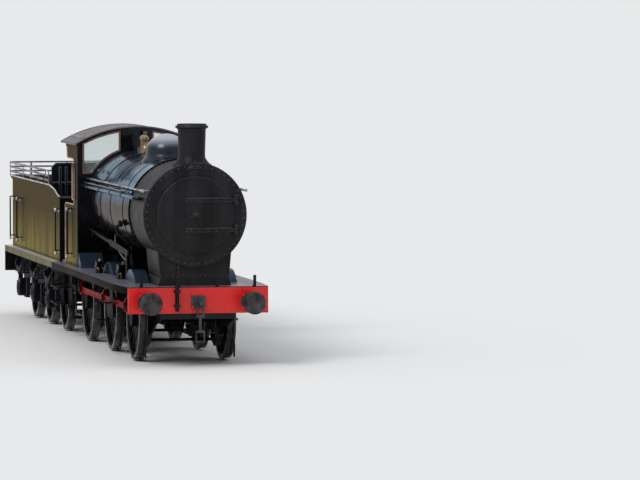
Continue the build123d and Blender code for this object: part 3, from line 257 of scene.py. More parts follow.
def addInside(tree, surface):
    at = pointAxes(tree)
    wide = mathNode(tree, "GREATER_THAN", mathNode(tree, "ABSOLUTE", at["Y"]), innerFaces["outerY"])
    outside = mathNode(tree, "MAXIMUM", wide, mathNode(tree, "LESS_THAN", at["X"], innerFaces["outerX"]))
    dull = plainPaint(tree, innerFaces)
    dirtColour = tuple(c * innerFaces["dirt"] for c in innerFaces["colour"])
    dirty = ramp(tree, noiseNode(tree, 3.0, 8.0), [(0.35, innerFaces["colour"]), (0.65, dirtColour)])
    # The tank's front plate: near-black and almost without gloss, painted shade.
    fromFront = mathNode(tree, "ABSOLUTE", mathNode(tree, "SUBTRACT", at["X"], innerFaces["frontX"]))
    front = mathNode(tree, "LESS_THAN", fromFront, innerFaces["frontReach"])
    tree.links.new(mixColour(tree, front, dirty, innerFaces["frontPaintedShade"]), dull.inputs["Base Color"])
    shine = spread(tree, front, innerFaces["specular"], innerFaces["frontSpecular"], 0.0, 1.0)
    tree.links.new(shine, dull.inputs["Specular IOR Level"])
    addBump(tree, dull, noiseNode(tree, 14.0, 8.0), 0.35)
    return mixFinish(tree, surface, dull, outside)


# Slow variation, upward faces painted paler as a painted sky reflection, streaks of painted highlight (gleams
# of the sky) and road dust low down
def paintColour(tree, bsdf, look):
    patches = noiseNode(tree, look["patch"], 5.0, look["stretch"])
    other = tuple(c * look["variation"] + 0.002 for c in look["colour"])
    colour = ramp(tree, patches, [(0.35, look["colour"]), (0.7, other)])
    # Upward faces high up take a paler colour: a painted sky reflection.
    if "topSkySheen" in look:
        share = mathNode(tree, "MULTIPLY", topLit(tree, *look["topFrom"]), highShare(tree, *look["topAbove"]))
        colour = mixColour(tree, share, colour, look["topSkySheen"])
    # Pale streaks on upward faces: painted highlight.
    if "gleam" in look:
        gleam = look["gleam"]
        streak = spread(tree, noiseNode(tree, 1.0, 7.0, gleam["stretch"]), 0.0, 1.0, *gleam["range"])
        share = mathNode(tree, "MULTIPLY", streak, topLit(tree, *gleam["topFrom"]))
        colour = mixColour(tree, share, colour, gleam["colour"])
        tree.links.new(spread(tree, share, look["metallic"], gleam["metallic"], 0.0, 1.0),
                       bsdf.inputs["Metallic"])
    if "dust" in look:
        speck = spread(tree, noiseNode(tree, 9.0, 8.0), 0.15, look["dust"], 0.35, 0.65)
        share = mathNode(tree, "MULTIPLY", lowShare(tree, *look["dustFade"]), speck)
        colour = mixColour(tree, share, colour, look["dustColour"])
    return colour


paintDefaults = dict(
    metallic=0.0, tint=(1, 1, 1), variation=1.5, patch=1.6, stretch=(1, 1, 0.35), glossPatch=3.5, uneven=0.06,
    wave=0.12, waveScale=1.2, waveStretch=(1, 1, 1))


def wornPaint(name, look):
    look = {**paintDefaults, **look}
    made, tree, bsdf = shader(name, look["colour"], look["roughness"], look["metallic"])
    bsdf.inputs["Specular Tint"].default_value = (*look["tint"], 1)
    # A second reflection tint low down, in streaks: a painted reflection of the surroundings.
    if "lowReflectionTint" in look:
        share = streakedShare(tree, look["streak"], look["streakLow"], *look["tintFade"])
        tree.links.new(mixColour(tree, share, look["tint"], look["lowReflectionTint"]), bsdf.inputs["Specular Tint"])
    colour, normal = paintColour(tree, bsdf, look), None
    if "edge" in look:
        colour, normal = roundedEdges(tree, colour, look)
    tree.links.new(colour, bsdf.inputs["Base Color"])
    smoothest, roughest = max(0.03, look["roughness"] - look["uneven"]), look["roughness"] + look["uneven"]
    gloss = spread(tree, noiseNode(tree, look["glossPatch"], 6.0), smoothest, roughest, 0.3, 0.7)
    tree.links.new(gloss, bsdf.inputs["Roughness"])
    waves = noiseNode(tree, look["waveScale"], 2.0, look["waveStretch"])
    addBump(tree, bsdf, waves, look["wave"], 0.02, normal)
    surface = bsdf
    # A gloss whose tints are a painted reflection takes the place of the paint's own gloss.
    if "paintedSheen" in look:
        bsdf.inputs["Specular IOR Level"].default_value = 0.0
        surface = addPaintedSheen(tree, bsdf, look["paintedSheen"])
    if "sides" in look:
        surface = addSides(tree, surface, look["sides"])
    if "dullInside" in look:
        surface = addInside(tree, surface)
    return made


# Bare or oily metal, with darker grime in patches
def wornMetal(name, look):
    look = {"metallic": 1.0, "patch": 7.0, **look}
    made, tree, bsdf = shader(name, look["colour"], look["roughness"], look["metallic"])
    grime = noiseNode(tree, look["patch"], 8.0)
    colour = ramp(tree, grime, [(0.38, look["colour"]), (0.68, look["grime"])])
    tree.links.new(colour, bsdf.inputs["Base Color"])
    gloss = spread(tree, grime, look["roughness"], min(0.95, look["roughness"] + 0.25), 0.4, 0.7)
    tree.links.new(gloss, bsdf.inputs["Roughness"])
    addBump(tree, bsdf, noiseNode(tree, 60.0, 6.0), 0.15, 0.002)
    return made


def planks(name):
    light, dark = (0.16, 0.10, 0.055), (0.05, 0.035, 0.024)
    made, tree, bsdf = shader(name, light, 0.75)
    grain = noiseNode(tree, 6.0, 8.0, (1, 14, 1))
    tree.links.new(ramp(tree, grain, [(0.3, light), (0.7, dark)]), bsdf.inputs["Base Color"])
    addBump(tree, bsdf, grain, 0.4)
    return made


def clearGlass(name):
    made, tree, bsdf = shader(name, (0.75, 0.82, 0.82), 0.04)
    bsdf.inputs["Transmission Weight"].default_value = 0.92
    bsdf.inputs["IOR"].default_value = 1.45
    addBump(tree, bsdf, noiseNode(tree, 5.0, 2.0), 0.05)
    return made


# Finishes of the record's slots. Heights and edges are in metres. Patch and stretch are scales of noise,
# so that a larger number gives smaller patches. Each edge colour is partly wear and partly a painted highlight.
paints = {
    # Boiler black: its blue tint is a painted sky reflection, its brown tint low down a painted reflection of
    # the surroundings, and its gleam painted highlight streaks on upward faces.
    "black_paint": dict(
        colour=(0.014, 0.0155, 0.019), roughness=0.13, metallic=0.92, tint=(0.50, 0.72, 0.98),
        lowReflectionTint=(0.36, 0.33, 0.31), tintFade=(2.48, 2.86), streak=(0.5, 4.0, 4.0), streakLow=0.85,
        variation=1.3, wave=0.34, waveScale=1.5, waveStretch=(0.8, 2.4, 2.4),
        gleam=dict(colour=(0.064, 0.088, 0.120), metallic=0.15, stretch=(6.0, 1.2, 1.2), range=(0.32, 0.78),
                   topFrom=(0.30, 0.75))),
    # Cab and tank sides: near-black paint; the olive-gold low down and brown above are a painted reflection in
    # the gloss tints.
    "cab_black": dict(
        colour=(0.020, 0.0185, 0.015), roughness=0.40, variation=1.3, stretch=(2.6, 2.6, 0.22), wave=0.2,
        dust=0.35, dustFade=(1.33, 1.8), dustColour=(0.050, 0.042, 0.026), dullInside=True,
        paintedSheen=dict(roughness=0.20, high=(0.19, 0.145, 0.080), low=(0.50, 0.395, 0.135), fade=(1.42, 2.20),
                  streak=(3.5, 3.5, 0.35), streakLow=0.45)),
    "smokebox_black": dict(
        colour=(0.0095, 0.0095, 0.0105), roughness=0.40, metallic=0.55, tint=(0.30, 0.30, 0.32), variation=2.4,
        stretch=(2.2, 2.2, 0.5), dust=0.5, dustFade=(1.3, 2.9), dustColour=(0.027, 0.024, 0.021), wave=0.16,
        edge=0.016, edgeWearAndHighlight=(0.135, 0.135, 0.140)),
    "frame_black": dict(
        colour=(0.012, 0.012, 0.0145), roughness=0.33, metallic=0.9, tint=(0.22, 0.225, 0.25), variation=1.8,
        dust=0.35, dustFade=(0.2, 1.4), dustColour=(0.030, 0.026, 0.023), wave=0.1, edge=0.008,
        edgeWearAndHighlight=(0.070, 0.074, 0.085)),
    "roof_grey": dict(colour=(0.098, 0.086, 0.094), roughness=0.55, variation=1.4, wave=0.2, stretch=(1, 1, 1)),
    "red_paint": dict(
        colour=(0.68, 0.006, 0.004), roughness=0.28, variation=0.8, dust=0.12, dustFade=(0.85, 1.3),
        dustColour=(0.060, 0.048, 0.036), wave=0.08),
    "rod_red": dict(
        colour=(0.40, 0.016, 0.012), roughness=0.34, metallic=0.85, tint=(0.56, 0.24, 0.24), variation=0.6,
        patch=4.0, dust=0.35, dustFade=(0.6, 1.2), dustColour=(0.05, 0.02, 0.015), wave=0.05),
    "plate_grey": dict(
        colour=(0.310, 0.318, 0.342), roughness=0.36, variation=1.4, patch=2.4, stretch=(1, 1, 1), wave=0.12,
        # Upright faces: their tints are a painted reflection.
        sides=dict(colour=(0.032, 0.029, 0.024), roughness=0.24, metallic=0.95, tint=(0.62, 0.56, 0.36),
                   tintOther=(0.42, 0.37, 0.22), streak=(2.5, 2.5, 0.5))),
    "wheel_black": dict(
        colour=(0.012, 0.0125, 0.0155), roughness=0.30, metallic=0.9, tint=(0.24, 0.25, 0.29), variation=1.9,
        patch=3.0, dust=0.35, dustFade=(0.0, 1.5), dustColour=(0.030, 0.026, 0.023), wave=0.06, edge=0.007,
        edgeWearAndHighlight=(0.060, 0.062, 0.070)),
    # Cast iron: upward faces are painted paler, a painted sky reflection.
    "cast_iron": dict(
        colour=(0.012, 0.0125, 0.0165), roughness=0.30, metallic=0.9, tint=(0.26, 0.28, 0.33), variation=1.9,
        patch=4.0, wave=0.1, edge=0.018, edgeWearAndHighlight=(0.140, 0.150, 0.175), topSkySheen=(0.120, 0.130, 0.150),
        topFrom=(0.35, 0.90), topAbove=(0.30, 0.50)),
    "spring_steel": dict(
        colour=(0.020, 0.020, 0.022), roughness=0.34, metallic=0.9, tint=(0.30, 0.30, 0.32), variation=2.2,
        patch=8.0, wave=0.1, edge=0.010, edgeWearAndHighlight=(0.16, 0.16, 0.17)),
}
metals = {
    "tyre_steel": dict(
        colour=(0.10, 0.098, 0.098), roughness=0.34, grime=(0.02, 0.018, 0.016), patch=5.0, metallic=0.8),
    "buffer_steel": dict(colour=(0.07, 0.07, 0.075), roughness=0.42, grime=(0.02, 0.018, 0.016), metallic=0.7),
    "bright_steel": dict(colour=(0.42, 0.43, 0.46), roughness=0.25, grime=(0.12, 0.115, 0.11)),
    "brass": dict(colour=(0.40, 0.25, 0.11), roughness=0.27, grime=(0.12, 0.072, 0.035)),
}

# Finishes that a few nodes and the trim have of their own; here too each edge colour is partly wear and partly
# a painted highlight
paints.update({
    # Dome: black paint whose blue tinge and pale blue-white top are a painted sky reflection.
    "domePaintedSky": dict(
        colour=(0.009, 0.014, 0.022), roughness=0.28, metallic=0.5, topSkySheen=(0.38, 0.40, 0.46),
        topFrom=(0.20, 0.80), topAbove=(3.54, 3.70), variation=1.2, patch=3.0, wave=0.15, glossPatch=2.0),
    "ribbedBlack": dict(
        colour=(0.010, 0.011, 0.016), roughness=0.3, metallic=0.9, tint=(0.25, 0.27, 0.33), variation=2.2,
        patch=4.0, wave=0.2, edge=0.022, edgeWearAndHighlight=(0.21, 0.22, 0.26)),
    "enginePlate": dict(
        paints["plate_grey"], colour=(0.086, 0.086, 0.110),
        # Upright faces: their tints are a painted reflection.
        sides=dict(colour=(0.010, 0.009, 0.008), roughness=0.24, metallic=0.95, tint=(0.19, 0.16, 0.115),
                   tintOther=(0.05, 0.044, 0.036), streak=(0.5, 1.0, 26.0))),
    # Splashers: black paint whose blue colour is a painted sky reflection.
    "splasherPaintedSky": dict(
        colour=(0.024, 0.040, 0.060), roughness=0.25, metallic=0.5, tint=(0.36, 0.42, 0.50), variation=1.4,
        patch=3.0, wave=0.2, edge=0.012, edgeWearAndHighlight=(0.14, 0.15, 0.17)),
    # Reversing rod: its pale edges are partly wear and partly a painted highlight.
    "reachRodWornAndHighlit": dict(
        colour=(0.022, 0.021, 0.022), roughness=0.36, metallic=0.8, tint=(0.32, 0.31, 0.31), variation=2.0,
        patch=5.0, wave=0.1, edge=0.012, edgeWearAndHighlight=(0.34, 0.34, 0.36)),
    "rivetGrey": dict(
        colour=(0.052, 0.052, 0.056), roughness=0.40, metallic=0.4, variation=1.6, patch=6.0, wave=0.1),
})
metals.update({
    "warmBead": dict(
        colour=(0.42, 0.30, 0.25), roughness=0.33, grime=(0.16, 0.11, 0.09), metallic=0.5, patch=3.0),
    "paleBead": dict(
        colour=(0.58, 0.58, 0.60), roughness=0.28, grime=(0.26, 0.25, 0.24), metallic=0.6, patch=3.0),
    "valveBrass": dict(colour=(0.34, 0.25, 0.17), roughness=0.34, grime=(0.10, 0.07, 0.05), patch=9.0),
    "oilyBrass": dict(colour=(0.34, 0.27, 0.17), roughness=0.34, grime=(0.02, 0.022, 0.028), patch=26.0),
    "dullPipe": dict(
        colour=(0.20, 0.21, 0.23), roughness=0.28, grime=(0.05, 0.05, 0.055), metallic=0.8, patch=6.0),
    "copperPipe": dict(
        colour=(0.35, 0.17, 0.10), roughness=0.32, grime=(0.10, 0.06, 0.045), metallic=0.9, patch=6.0),
    "dial": dict(colour=(0.75, 0.74, 0.70), roughness=0.3, grime=(0.6, 0.58, 0.52), metallic=0.0),
    # Coal rails: a light grey that stands in for the light falling on them, painted highlight.
    "coalRailPaintedLight": dict(
        colour=(0.24, 0.24, 0.26), roughness=0.42, grime=(0.07, 0.068, 0.07), metallic=0.5, patch=3.0),
    "windowCopper": dict(
        colour=(0.24, 0.135, 0.085), roughness=0.36, grime=(0.10, 0.062, 0.045), metallic=0.7, patch=5.0),
    # Roof strips: a pale grey that is a painted highlight along the eaves.
    "roofStripHighlight": dict(
        colour=(0.34, 0.32, 0.36), roughness=0.4, grime=(0.14, 0.13, 0.145), metallic=0.4, patch=4.0),
})

finish = {name: wornPaint(name, look) for name, look in paints.items()}
finish.update({name: wornMetal(name, look) for name, look in metals.items()})
finish["floor_wood"] = planks("floor_wood")
finish["glass"] = clearGlass("glass")

ownFinish = {
    "tender_coal_rails": "coalRailPaintedLight",
    "tender_bulkhead": "ribbedBlack",
    "running_plate": "enginePlate",
    "splashers": "splasherPaintedSky",
    "reversing_rod": "reachRodWornAndHighlit",
    "spectacle_frames": "windowCopper",
    "dome": "domePaintedSky",
    "safety_valves": "valveBrass",
}
slotOf = {row["node"]: row["material_slot"] for row in frame["record"]["subparts"]}
for nodeName, obj in nodes.items():
    obj.data.materials.clear()
    obj.data.materials.append(finish[ownFinish.get(nodeName, slotOf[nodeName])])
    for face in obj.data.polygons:
        face.material_index = 0
print("finished", len(nodes), "nodes with", len(finish), "materials")


# Mesh helpers. A shape is a growing list of points and faces, made into one object at the end.

def newShapes(count):
    return [{"points": [], "faces": []} for _ in range(count)]


def addRing(shape, centre, across, up, radius, sides):
    start = len(shape["points"])
    for i in range(sides):
        turn = 2 * math.pi * i / sides
        shape["points"].append(centre + across * (radius * math.cos(turn)) + up * (radius * math.sin(turn)))
    return start


# Walls from ring to ring and a flat cap at both ends
def joinRings(shape, rings, sides):
    for first, second in zip(rings, rings[1:]):
        for i in range(sides):
            j = (i + 1) % sides
            shape["faces"].append((first + i, first + j, second + j, second + i))
    shape["faces"].append(tuple(range(rings[0], rings[0] + sides))[::-1])
    shape["faces"].append(tuple(range(rings[-1], rings[-1] + sides)))


# Two unit vectors square to a direction and to each other
def squareTo(direction):
    helper = Vector((0, 0, 1)) if abs(direction.z) < 0.9 else Vector((1, 0, 0))
    across = direction.cross(helper).normalized()
    return across, direction.cross(across).normalized()


# The way a path runs at one of its points
def aheadAt(path, i):
    return (path[min(i + 1, len(path) - 1)] - path[max(i - 1, 0)]).normalized()


# A closed round bar along a path
def addTube(shape, path, radius, sides=8):
    path = [Vector(p) for p in path]
    across, up = squareTo((path[1] - path[0]).normalized())
    rings = []
    for i, point in enumerate(path):
        ahead = aheadAt(path, i)
        across = (across - ahead * across.dot(ahead)).normalized()
        up = ahead.cross(across)
        rings.append(addRing(shape, point, across, up, radius, sides))
    joinRings(shape, rings, sides)


# Turns a profile of (distance along the axis, radius) about the axis.
def addLathe(shape, centre, axis, profile, sides=16):
    centre, axis = Vector(centre), Vector(axis).normalized()
    across, up = squareTo(axis)
    rings = [addRing(shape, centre + axis * along, across, up, max(radius, 0.0002), sides)
             for along, radius in profile]
    joinRings(shape, rings, sides)


# Heads of fasteners, as parts of their size
fasteners = {
    "rivet": {"sides": 8, "head": ((0, 1), (0.35, 1), (0.75, 0.72), (0.95, 0.25))},
    "bolt": {"sides": 6, "head": ((0, 1.35), (0.25, 1.35), (0.26, 1), (1.0, 1), (1.1, 0.85))},
    "sunk": 0.002,       # how deep a head sits in what carries it
}


def addFastener(shape, kind, at, normal, size):
    foot = Vector(at) - Vector(normal).normalized() * fasteners["sunk"]
    head = [(along * size, radius * size) for along, radius in fasteners[kind]["head"]]
    addLathe(shape, foot, normal, head, fasteners[kind]["sides"])


def addRivet(shape, at, normal, size):
    addFastener(shape, "rivet", at, normal, size)


def addBolt(shape, at, normal, size):
    addFastener(shape, "bolt", at, normal, size)


def addBlock(shape, low, high):
    start = len(shape["points"])
    for x in (low[0], high[0]):
        for y in (low[1], high[1]):
            for z in (low[2], high[2]):
                shape["points"].append(Vector((x, y, z)))
    for corners in ((0, 1, 3, 2), (4, 6, 7, 5), (0, 4, 5, 1), (2, 3, 7, 6), (0, 2, 6, 4), (1, 5, 7, 3)):
        shape["faces"].append(tuple(start + i for i in corners))


# A flat bar along a path, wide along one direction and thick square to it
def addStrip(shape, path, across, width, thick):
    path = [Vector(p) for p in path]
    across = Vector(across).normalized()
    rings = []
    for i, point in enumerate(path):
        up = aheadAt(path, i).cross(across).normalized()
        rings.append(len(shape["points"]))
        for a, b in ((-1, -1), (1, -1), (1, 1), (-1, 1)):
            shape["points"].append(point + across * (a * width / 2) + up * (b * thick / 2))
    joinRings(shape, rings, 4)


# The points of a path with its inner corners rounded off
def rounded(points, bend, steps=5):
    points = [Vector(p) for p in points]
    made = [points[0]]
    for before, corner, after in zip(points, points[1:], points[2:]):
        reach = min(bend, (before - corner).length * 0.49, (after - corner).length * 0.49)
        a = corner + (before - corner).normalized() * reach
        b = corner + (after - corner).normalized() * reach
        for i in range(steps + 1):
            t = i / steps
            made.append(a.lerp(corner, t).lerp(corner.lerp(b, t), t))
    made.append(points[-1])
    return made


# Points from a to b, evenly spaced at about a pitch
def spaced(a, b, pitch):
    a, b = Vector(a), Vector(b)
    count = max(1, round((b - a).length / pitch))
    return [a.lerp(b, i / count) for i in range(count + 1)]


# Makes the object, gives it its finish and sets it on its body.
def finishShape(shape, name, slotName, body, finishName=None, bevel=0.0):
    mesh = bpy.data.meshes.new(name)
    mesh.from_pydata([tuple(p) for p in shape["points"]], [], shape["faces"])
    sides = bmesh.new()
    sides.from_mesh(mesh)
    bmesh.ops.recalc_face_normals(sides, faces=sides.faces)
    sides.to_mesh(mesh)
    sides.free()
    mesh.shade_smooth()
    mesh.set_sharp_from_angle(angle=math.radians(38))
    obj = bpy.data.objects.new(name, mesh)
    bpy.context.collection.objects.link(obj)
    obj.data.materials.append(finish[finishName or slotName])
    if bevel > 0:
        edge = obj.modifiers.new("edges", "BEVEL")
        edge.width = bevel
        edge.segments = 2
        edge.limit_method = "ANGLE"
    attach(obj, body)
    print("built", name)


# Upright handrails of cab and tender: a ball end, a collar and a foot at each end

railKnobs = {
    "ball": [(0, 0.012), (0.004, 0.021), (0.014, 0.027), (0.026, 0.027), (0.038, 0.019), (0.043, 0.004)],
    "collar": [(0, 0.014), (0.003, 0.020), (0.017, 0.020), (0.020, 0.014)],
    "foot": [(0, 0.030), (0.006, 0.030), (0.010, 0.016), (0.012, 0.014)],
    "ballIn": 0.012, "collarIn": 0.034, "footIn": 0.020,      # from the rail's end
    "cab": {"x": (0.230,), "y": 1.125, "ends": (1.490, 2.330), "sheet": place["cabHalf"]},
    "tender": {"x": (-1.100, -6.230, -7.150), "y": 1.135, "ends": (1.480, 2.270), "sheet": place["tankHalf"]},
}


def addRailKnobs(shape, rail, side):
    t = railKnobs
    for x in rail["x"]:
        for z, out in zip(rail["ends"], (-1, 1)):
            addLathe(shape, (x, side * rail["y"], z - out * t["ballIn"]), (0, 0, out), t["ball"], 12)
            addLathe(shape, (x, side * rail["y"], z - out * t["collarIn"]), (0, 0, out), t["collar"], 12)
            addLathe(shape, (x, side * rail["sheet"], z - out * t["footIn"]), (0, side, 0), t["foot"], 12)


def buildRailKnobs():
    engineSide, tenderSide = newShapes(2)
    for side in (1, -1):
        addRailKnobs(engineSide, railKnobs["cab"], side)
        addRailKnobs(tenderSide, railKnobs["tender"], side)
    finishShape(engineSide, "cab_rail_knobs", "bright_steel", "engine", "paleBead")
    finishShape(tenderSide, "tender_rail_knobs", "bright_steel", "tender", "paleBead")


# Cab trim: beading round the side sheets, roof strips, pillar rails and rivets

cabTrim = {
    "beadRadius": 0.013, "beadBend": 0.10,
    "foot": 1.345, "lowerTop": 2.430, "lowerRear": -0.350, "pillar": 0.710, "upperBottom": 3.248,
    "upperRear": -0.110, "roofRear": -0.220, "roofFoot": 3.520,
    "rivetPitch": 0.085, "rivetSize": 0.008,
    "frontX": 1.045, "frontZ": (1.370, 3.480), "footX": (-0.310, 1.020), "footZ": 1.365,
    "stripY": 0.930, "stripX": (-0.500, 1.060), "stripLift": 0.012, "stripWidth": 0.026, "stripThick": 0.030,
    "railZ": (2.520, 3.160), "railRadius": 0.016, "railBend": 0.030,
    "railX": (0.020, -0.005), "railY": (-0.004, 0.030),      # from the pillar and the sheet
    "eaveY": 1.095, "eaveX": (-0.500, 1.100), "eavePitch": 0.120, "eaveLean": (0.45, 0.90),
    "archX": (0.320, -0.540, 1.090), "archPitch": 0.115, "archEachSide": 9, "archRadius": 2.1,
    "roofRivet": 0.009,
}
roof = {"rise": 0.312, "half": 1.110, "eave": 3.518}


# Height of the roof's outer face at y
def roofHeight(y, lift=0.0):
    radius = (roof["half"] ** 2 + roof["rise"] ** 2) / (2 * roof["rise"])
    return roof["eave"] + roof["rise"] - radius + math.sqrt((radius + lift) ** 2 - y ** 2)


def addCabSide(beads, strips, rivets, rails, side):
    t = cabTrim
    y = side * place["cabHalf"]
    edge = [(t["lowerRear"], t["foot"]), (t["lowerRear"], t["lowerTop"]), (t["pillar"], t["lowerTop"]),
            (t["pillar"], t["upperBottom"]), (t["upperRear"], t["upperBottom"]), (t["roofRear"], t["roofFoot"])]
    addTube(beads, rounded([(x, y, z) for x, z in edge], t["beadBend"], 7), t["beadRadius"])
    upright = spaced((t["frontX"], y, t["frontZ"][0]), (t["frontX"], y, t["frontZ"][1]), t["rivetPitch"])
    level = spaced((t["footX"][0], y, t["footZ"]), (t["footX"][1], y, t["footZ"]), t["rivetPitch"])
    for p in upright + level:
        addRivet(rivets, p, (0, side, 0), t["rivetSize"])
    strip = side * t["stripY"]
    addStrip(strips, [(x, strip, roofHeight(strip, t["stripLift"])) for x in t["stripX"]], (0, 1, 0),
             t["stripWidth"], t["stripThick"])
    endX, railX = [t["pillar"] + ahead for ahead in t["railX"]]
    endY, railY = [y + side * out for out in t["railY"]]
    low, high = t["railZ"]
    addTube(rails, rounded([(endX, endY, low), (railX, railY, low), (railX, railY, high), (endX, endY, high)],
                           t["railBend"]), t["railRadius"], 10)
    eave, eaveZ = side * t["eaveY"], roofHeight(t["eaveY"])
    for p in spaced((t["eaveX"][0], eave, eaveZ), (t["eaveX"][1], eave, eaveZ), t["eavePitch"]):
        addRivet(rivets, p, (0, side * t["eaveLean"][0], t["eaveLean"][1]), t["roofRivet"])


def buildCabTrim():
    t = cabTrim
    beads, strips, rivets, rails = newShapes(4)
    for side in (1, -1):
        addCabSide(beads, strips, rivets, rails, side)
    for x in t["archX"]:
        for i in range(-t["archEachSide"], t["archEachSide"] + 1):
            y = i * t["archPitch"]
            addRivet(rivets, (x, y, roofHeight(y)), (0, y / t["archRadius"], 1), t["roofRivet"])
    finishShape(beads, "cab_beading", "bright_steel", "engine", "warmBead")
    finishShape(strips, "roof_strips", "roof_grey", "engine", "roofStripHighlight", bevel=0.004)
    finishShape(rails, "cab_pillar_rails", "bright_steel", "engine", "warmBead")
    finishShape(rivets, "cab_rivets", "cab_black", "engine")


# Tender trim: beading along the tank's top, rivets, axlebox covers, and lamp irons and steps at the back

tankTrim = {
    "top": 2.683, "flareHeight": 0.085, "flare": 0.050, "front": -1.020, "straight": (-5.000, -3.000),
    "curveLength": 1.120, "curveFall": 0.175, "curveSteps": 16,
    "beadRadius": 0.014, "beadIn": 0.004, "beadLift": 0.003,
    "rivetZ": 1.362, "rivetX": (-7.240, -1.080), "rivetY": (-1.030, 1.030), "rivetPitch": 0.100,
    "rivetSize": 0.008,
}
tankIrons = {
    "lowX": (-7.360, -7.420), "lowY": (-0.750, 0.0, 0.750), "lowZ": (1.334, 1.510),
    "highX": (-7.272, -7.330), "highZ": (2.330, 2.500),
    "stepX": (-7.410, -7.275), "stepY": (-0.720, 0.720), "stepZ": (1.720, 2.120), "stepHalf": 0.130,
    "stepThick": 0.012, "lipThick": 0.010, "lipBelow": 0.030, "lipAbove": 0.006,
}
lampIron = {"bend": 0.020, "width": 0.050, "thick": 0.010}
axleboxes = {
    "x": (-2.120, -4.040, -5.960), "z": 0.602, "face": 1.165,
    "boltX": (-0.088, 0.088), "boltZ": (-0.110, 0.100), "boltIn": 0.014, "boltSize": 0.014,
    "cover": [(0, 0.075), (0.012, 0.075), (0.020, 0.06), (0.022, 0.01)], "coverIn": 0.012,
    "hangerX": (-0.448, 0.448), "hangerY": 1.105, "hangerZ": 1.105, "hangerSize": 0.020,
}


# The top edge of the tank's side, from the back to the front, as (x, height)
def tankEdge():
    t = tankTrim
    run, fall = t["curveLength"], t["curveFall"]
    half = run / 2
    radius = (half ** 2 + (fall / 2) ** 2) / fall
    points = [(place["tankRear"] - t["flare"], t["top"])] + [(x, t["top"]) for x in t["straight"]]
    for i in range(t["curveSteps"] + 1):
        s = run * i / t["curveSteps"]
        if s <= half:
            z = t["top"] - (radius - math.sqrt(radius ** 2 - s ** 2))
        else:
            z = t["top"] - fall + (radius - math.sqrt(radius ** 2 - (run - s) ** 2))
        points.append((t["front"] - run + s, z))
    return points


# Half width of the tank at a height
def tankHalfAt(z):
    t = tankTrim
    share = (z - (t["top"] - t["flareHeight"])) / t["flareHeight"]
    return place["tankHalf"] + t["flare"] * min(1.0, max(0.0, share))


# A flat bar that stands up from a short foot
def addLampIron(shape, footX, x, y, low, high, thick=lampIron["thick"]):
    path = rounded([(footX, y, low), (x, y, low), (x, y, high)], lampIron["bend"])
    addStrip(shape, path, (0, 1, 0), lampIron["width"], thick)


def addAxleboxCover(shape, x, side):
    t = axleboxes
    for dx in t["boltX"]:
        for dz in t["boltZ"]:
            addBolt(shape, (x + dx, side * (t["face"] - t["boltIn"]), t["z"] + dz), (0, side, 0), t["boltSize"])
    addLathe(shape, (x, side * (t["face"] - t["coverIn"]), t["z"]), (0, side, 0), t["cover"], 24)
    for dx in t["hangerX"]:
        addBolt(shape, (x + dx, side * t["hangerY"], t["hangerZ"]), (0, 0, 1), t["hangerSize"])


def buildTenderTrim():
    t = tankTrim
    bead, rivets, irons, covers = newShapes(4)
    edge = tankEdge()
    right = [(x, t["beadIn"] - tankHalfAt(z), z + t["beadLift"]) for x, z in edge]
    left = [(x, tankHalfAt(z) - t["beadIn"], z + t["beadLift"]) for x, z in edge]
    addTube(bead, right[::-1] + left, t["beadRadius"])
    for side in (1, -1):
        y = side * place["tankHalf"]
        for p in spaced((t["rivetX"][0], y, t["rivetZ"]), (t["rivetX"][1], y, t["rivetZ"]), t["rivetPitch"]):
            addRivet(rivets, p, (0, side, 0), t["rivetSize"])
    rear = place["tankRear"]
    for p in spaced((rear, t["rivetY"][0], t["rivetZ"]), (rear, t["rivetY"][1], t["rivetZ"]), t["rivetPitch"]):
        addRivet(rivets, p, (-1, 0, 0), t["rivetSize"])
    b = tankIrons
    for y in b["lowY"]:
        addLampIron(irons, *b["lowX"], y, *b["lowZ"])
    for y in b["stepY"]:
        for z in b["stepZ"]:
            outer, inner = b["stepX"]
            addBlock(irons, (outer, y - b["stepHalf"], z), (inner, y + b["stepHalf"], z + b["stepThick"]))
            addBlock(irons, (outer, y - b["stepHalf"], z - b["lipBelow"]),
                     (outer + b["lipThick"], y + b["stepHalf"], z + b["lipAbove"]))
    addLampIron(irons, *b["highX"], 0.0, *b["highZ"])
    for x in axleboxes["x"]:
        for side in (1, -1):
            addAxleboxCover(covers, x, side)
    finishShape(bead, "tank_beading", "bright_steel", "tender", "paleBead")
    finishShape(rivets, "tank_rivets", "cab_black", "tender")
    finishShape(irons, "tender_lamp_irons", "frame_black", "tender", bevel=0.002)
    finishShape(covers, "axlebox_bolts", "cast_iron", "tender")


# Smokebox and chimney trim

smokeboxTrim = {
    "faceCount": 44, "faceRadius": 0.815, "faceRivet": 0.012,
    "wrapX": (5.735, 6.980), "wrapCount": 52, "wrapBelow": 0.62, "wrapRivet": 0.011,      # radians below level
    "saddleX": (5.990, 7.030), "saddleY": 0.585, "saddleZ": 1.460, "saddleLean": 0.3,
    "frontX": 7.090, "frontY": (-0.560, 0.560), "frontZ": 1.500, "footPitch": 0.090, "footRivet": 0.010,
    "chimneyX": 6.830, "flangeRadius": 0.312, "flangeThick": 0.024, "flangeCount": 14, "flangeBolt": 0.012,
    "strapZ": (-0.250, 0.250), "strapY": (-0.08, 0.06, 0.20, 0.34, 0.48), "strapOut": 0.110, "strapLean": 0.1,
    "strapRivet": 0.010, "bendY": 0.140, "bendFall": 0.140,      # the strap leans back from the bend on
    "ringX": 7.082, "ring": [(0, 0.860), (0.004, 0.872), (0.060, 0.872), (0.066, 0.860)],
    "ironX": 7.110, "ironZ": (3.362, 3.530), "ironFoot": ((7.085, -0.040, 3.355), (7.135, 0.040, 3.385)),
}


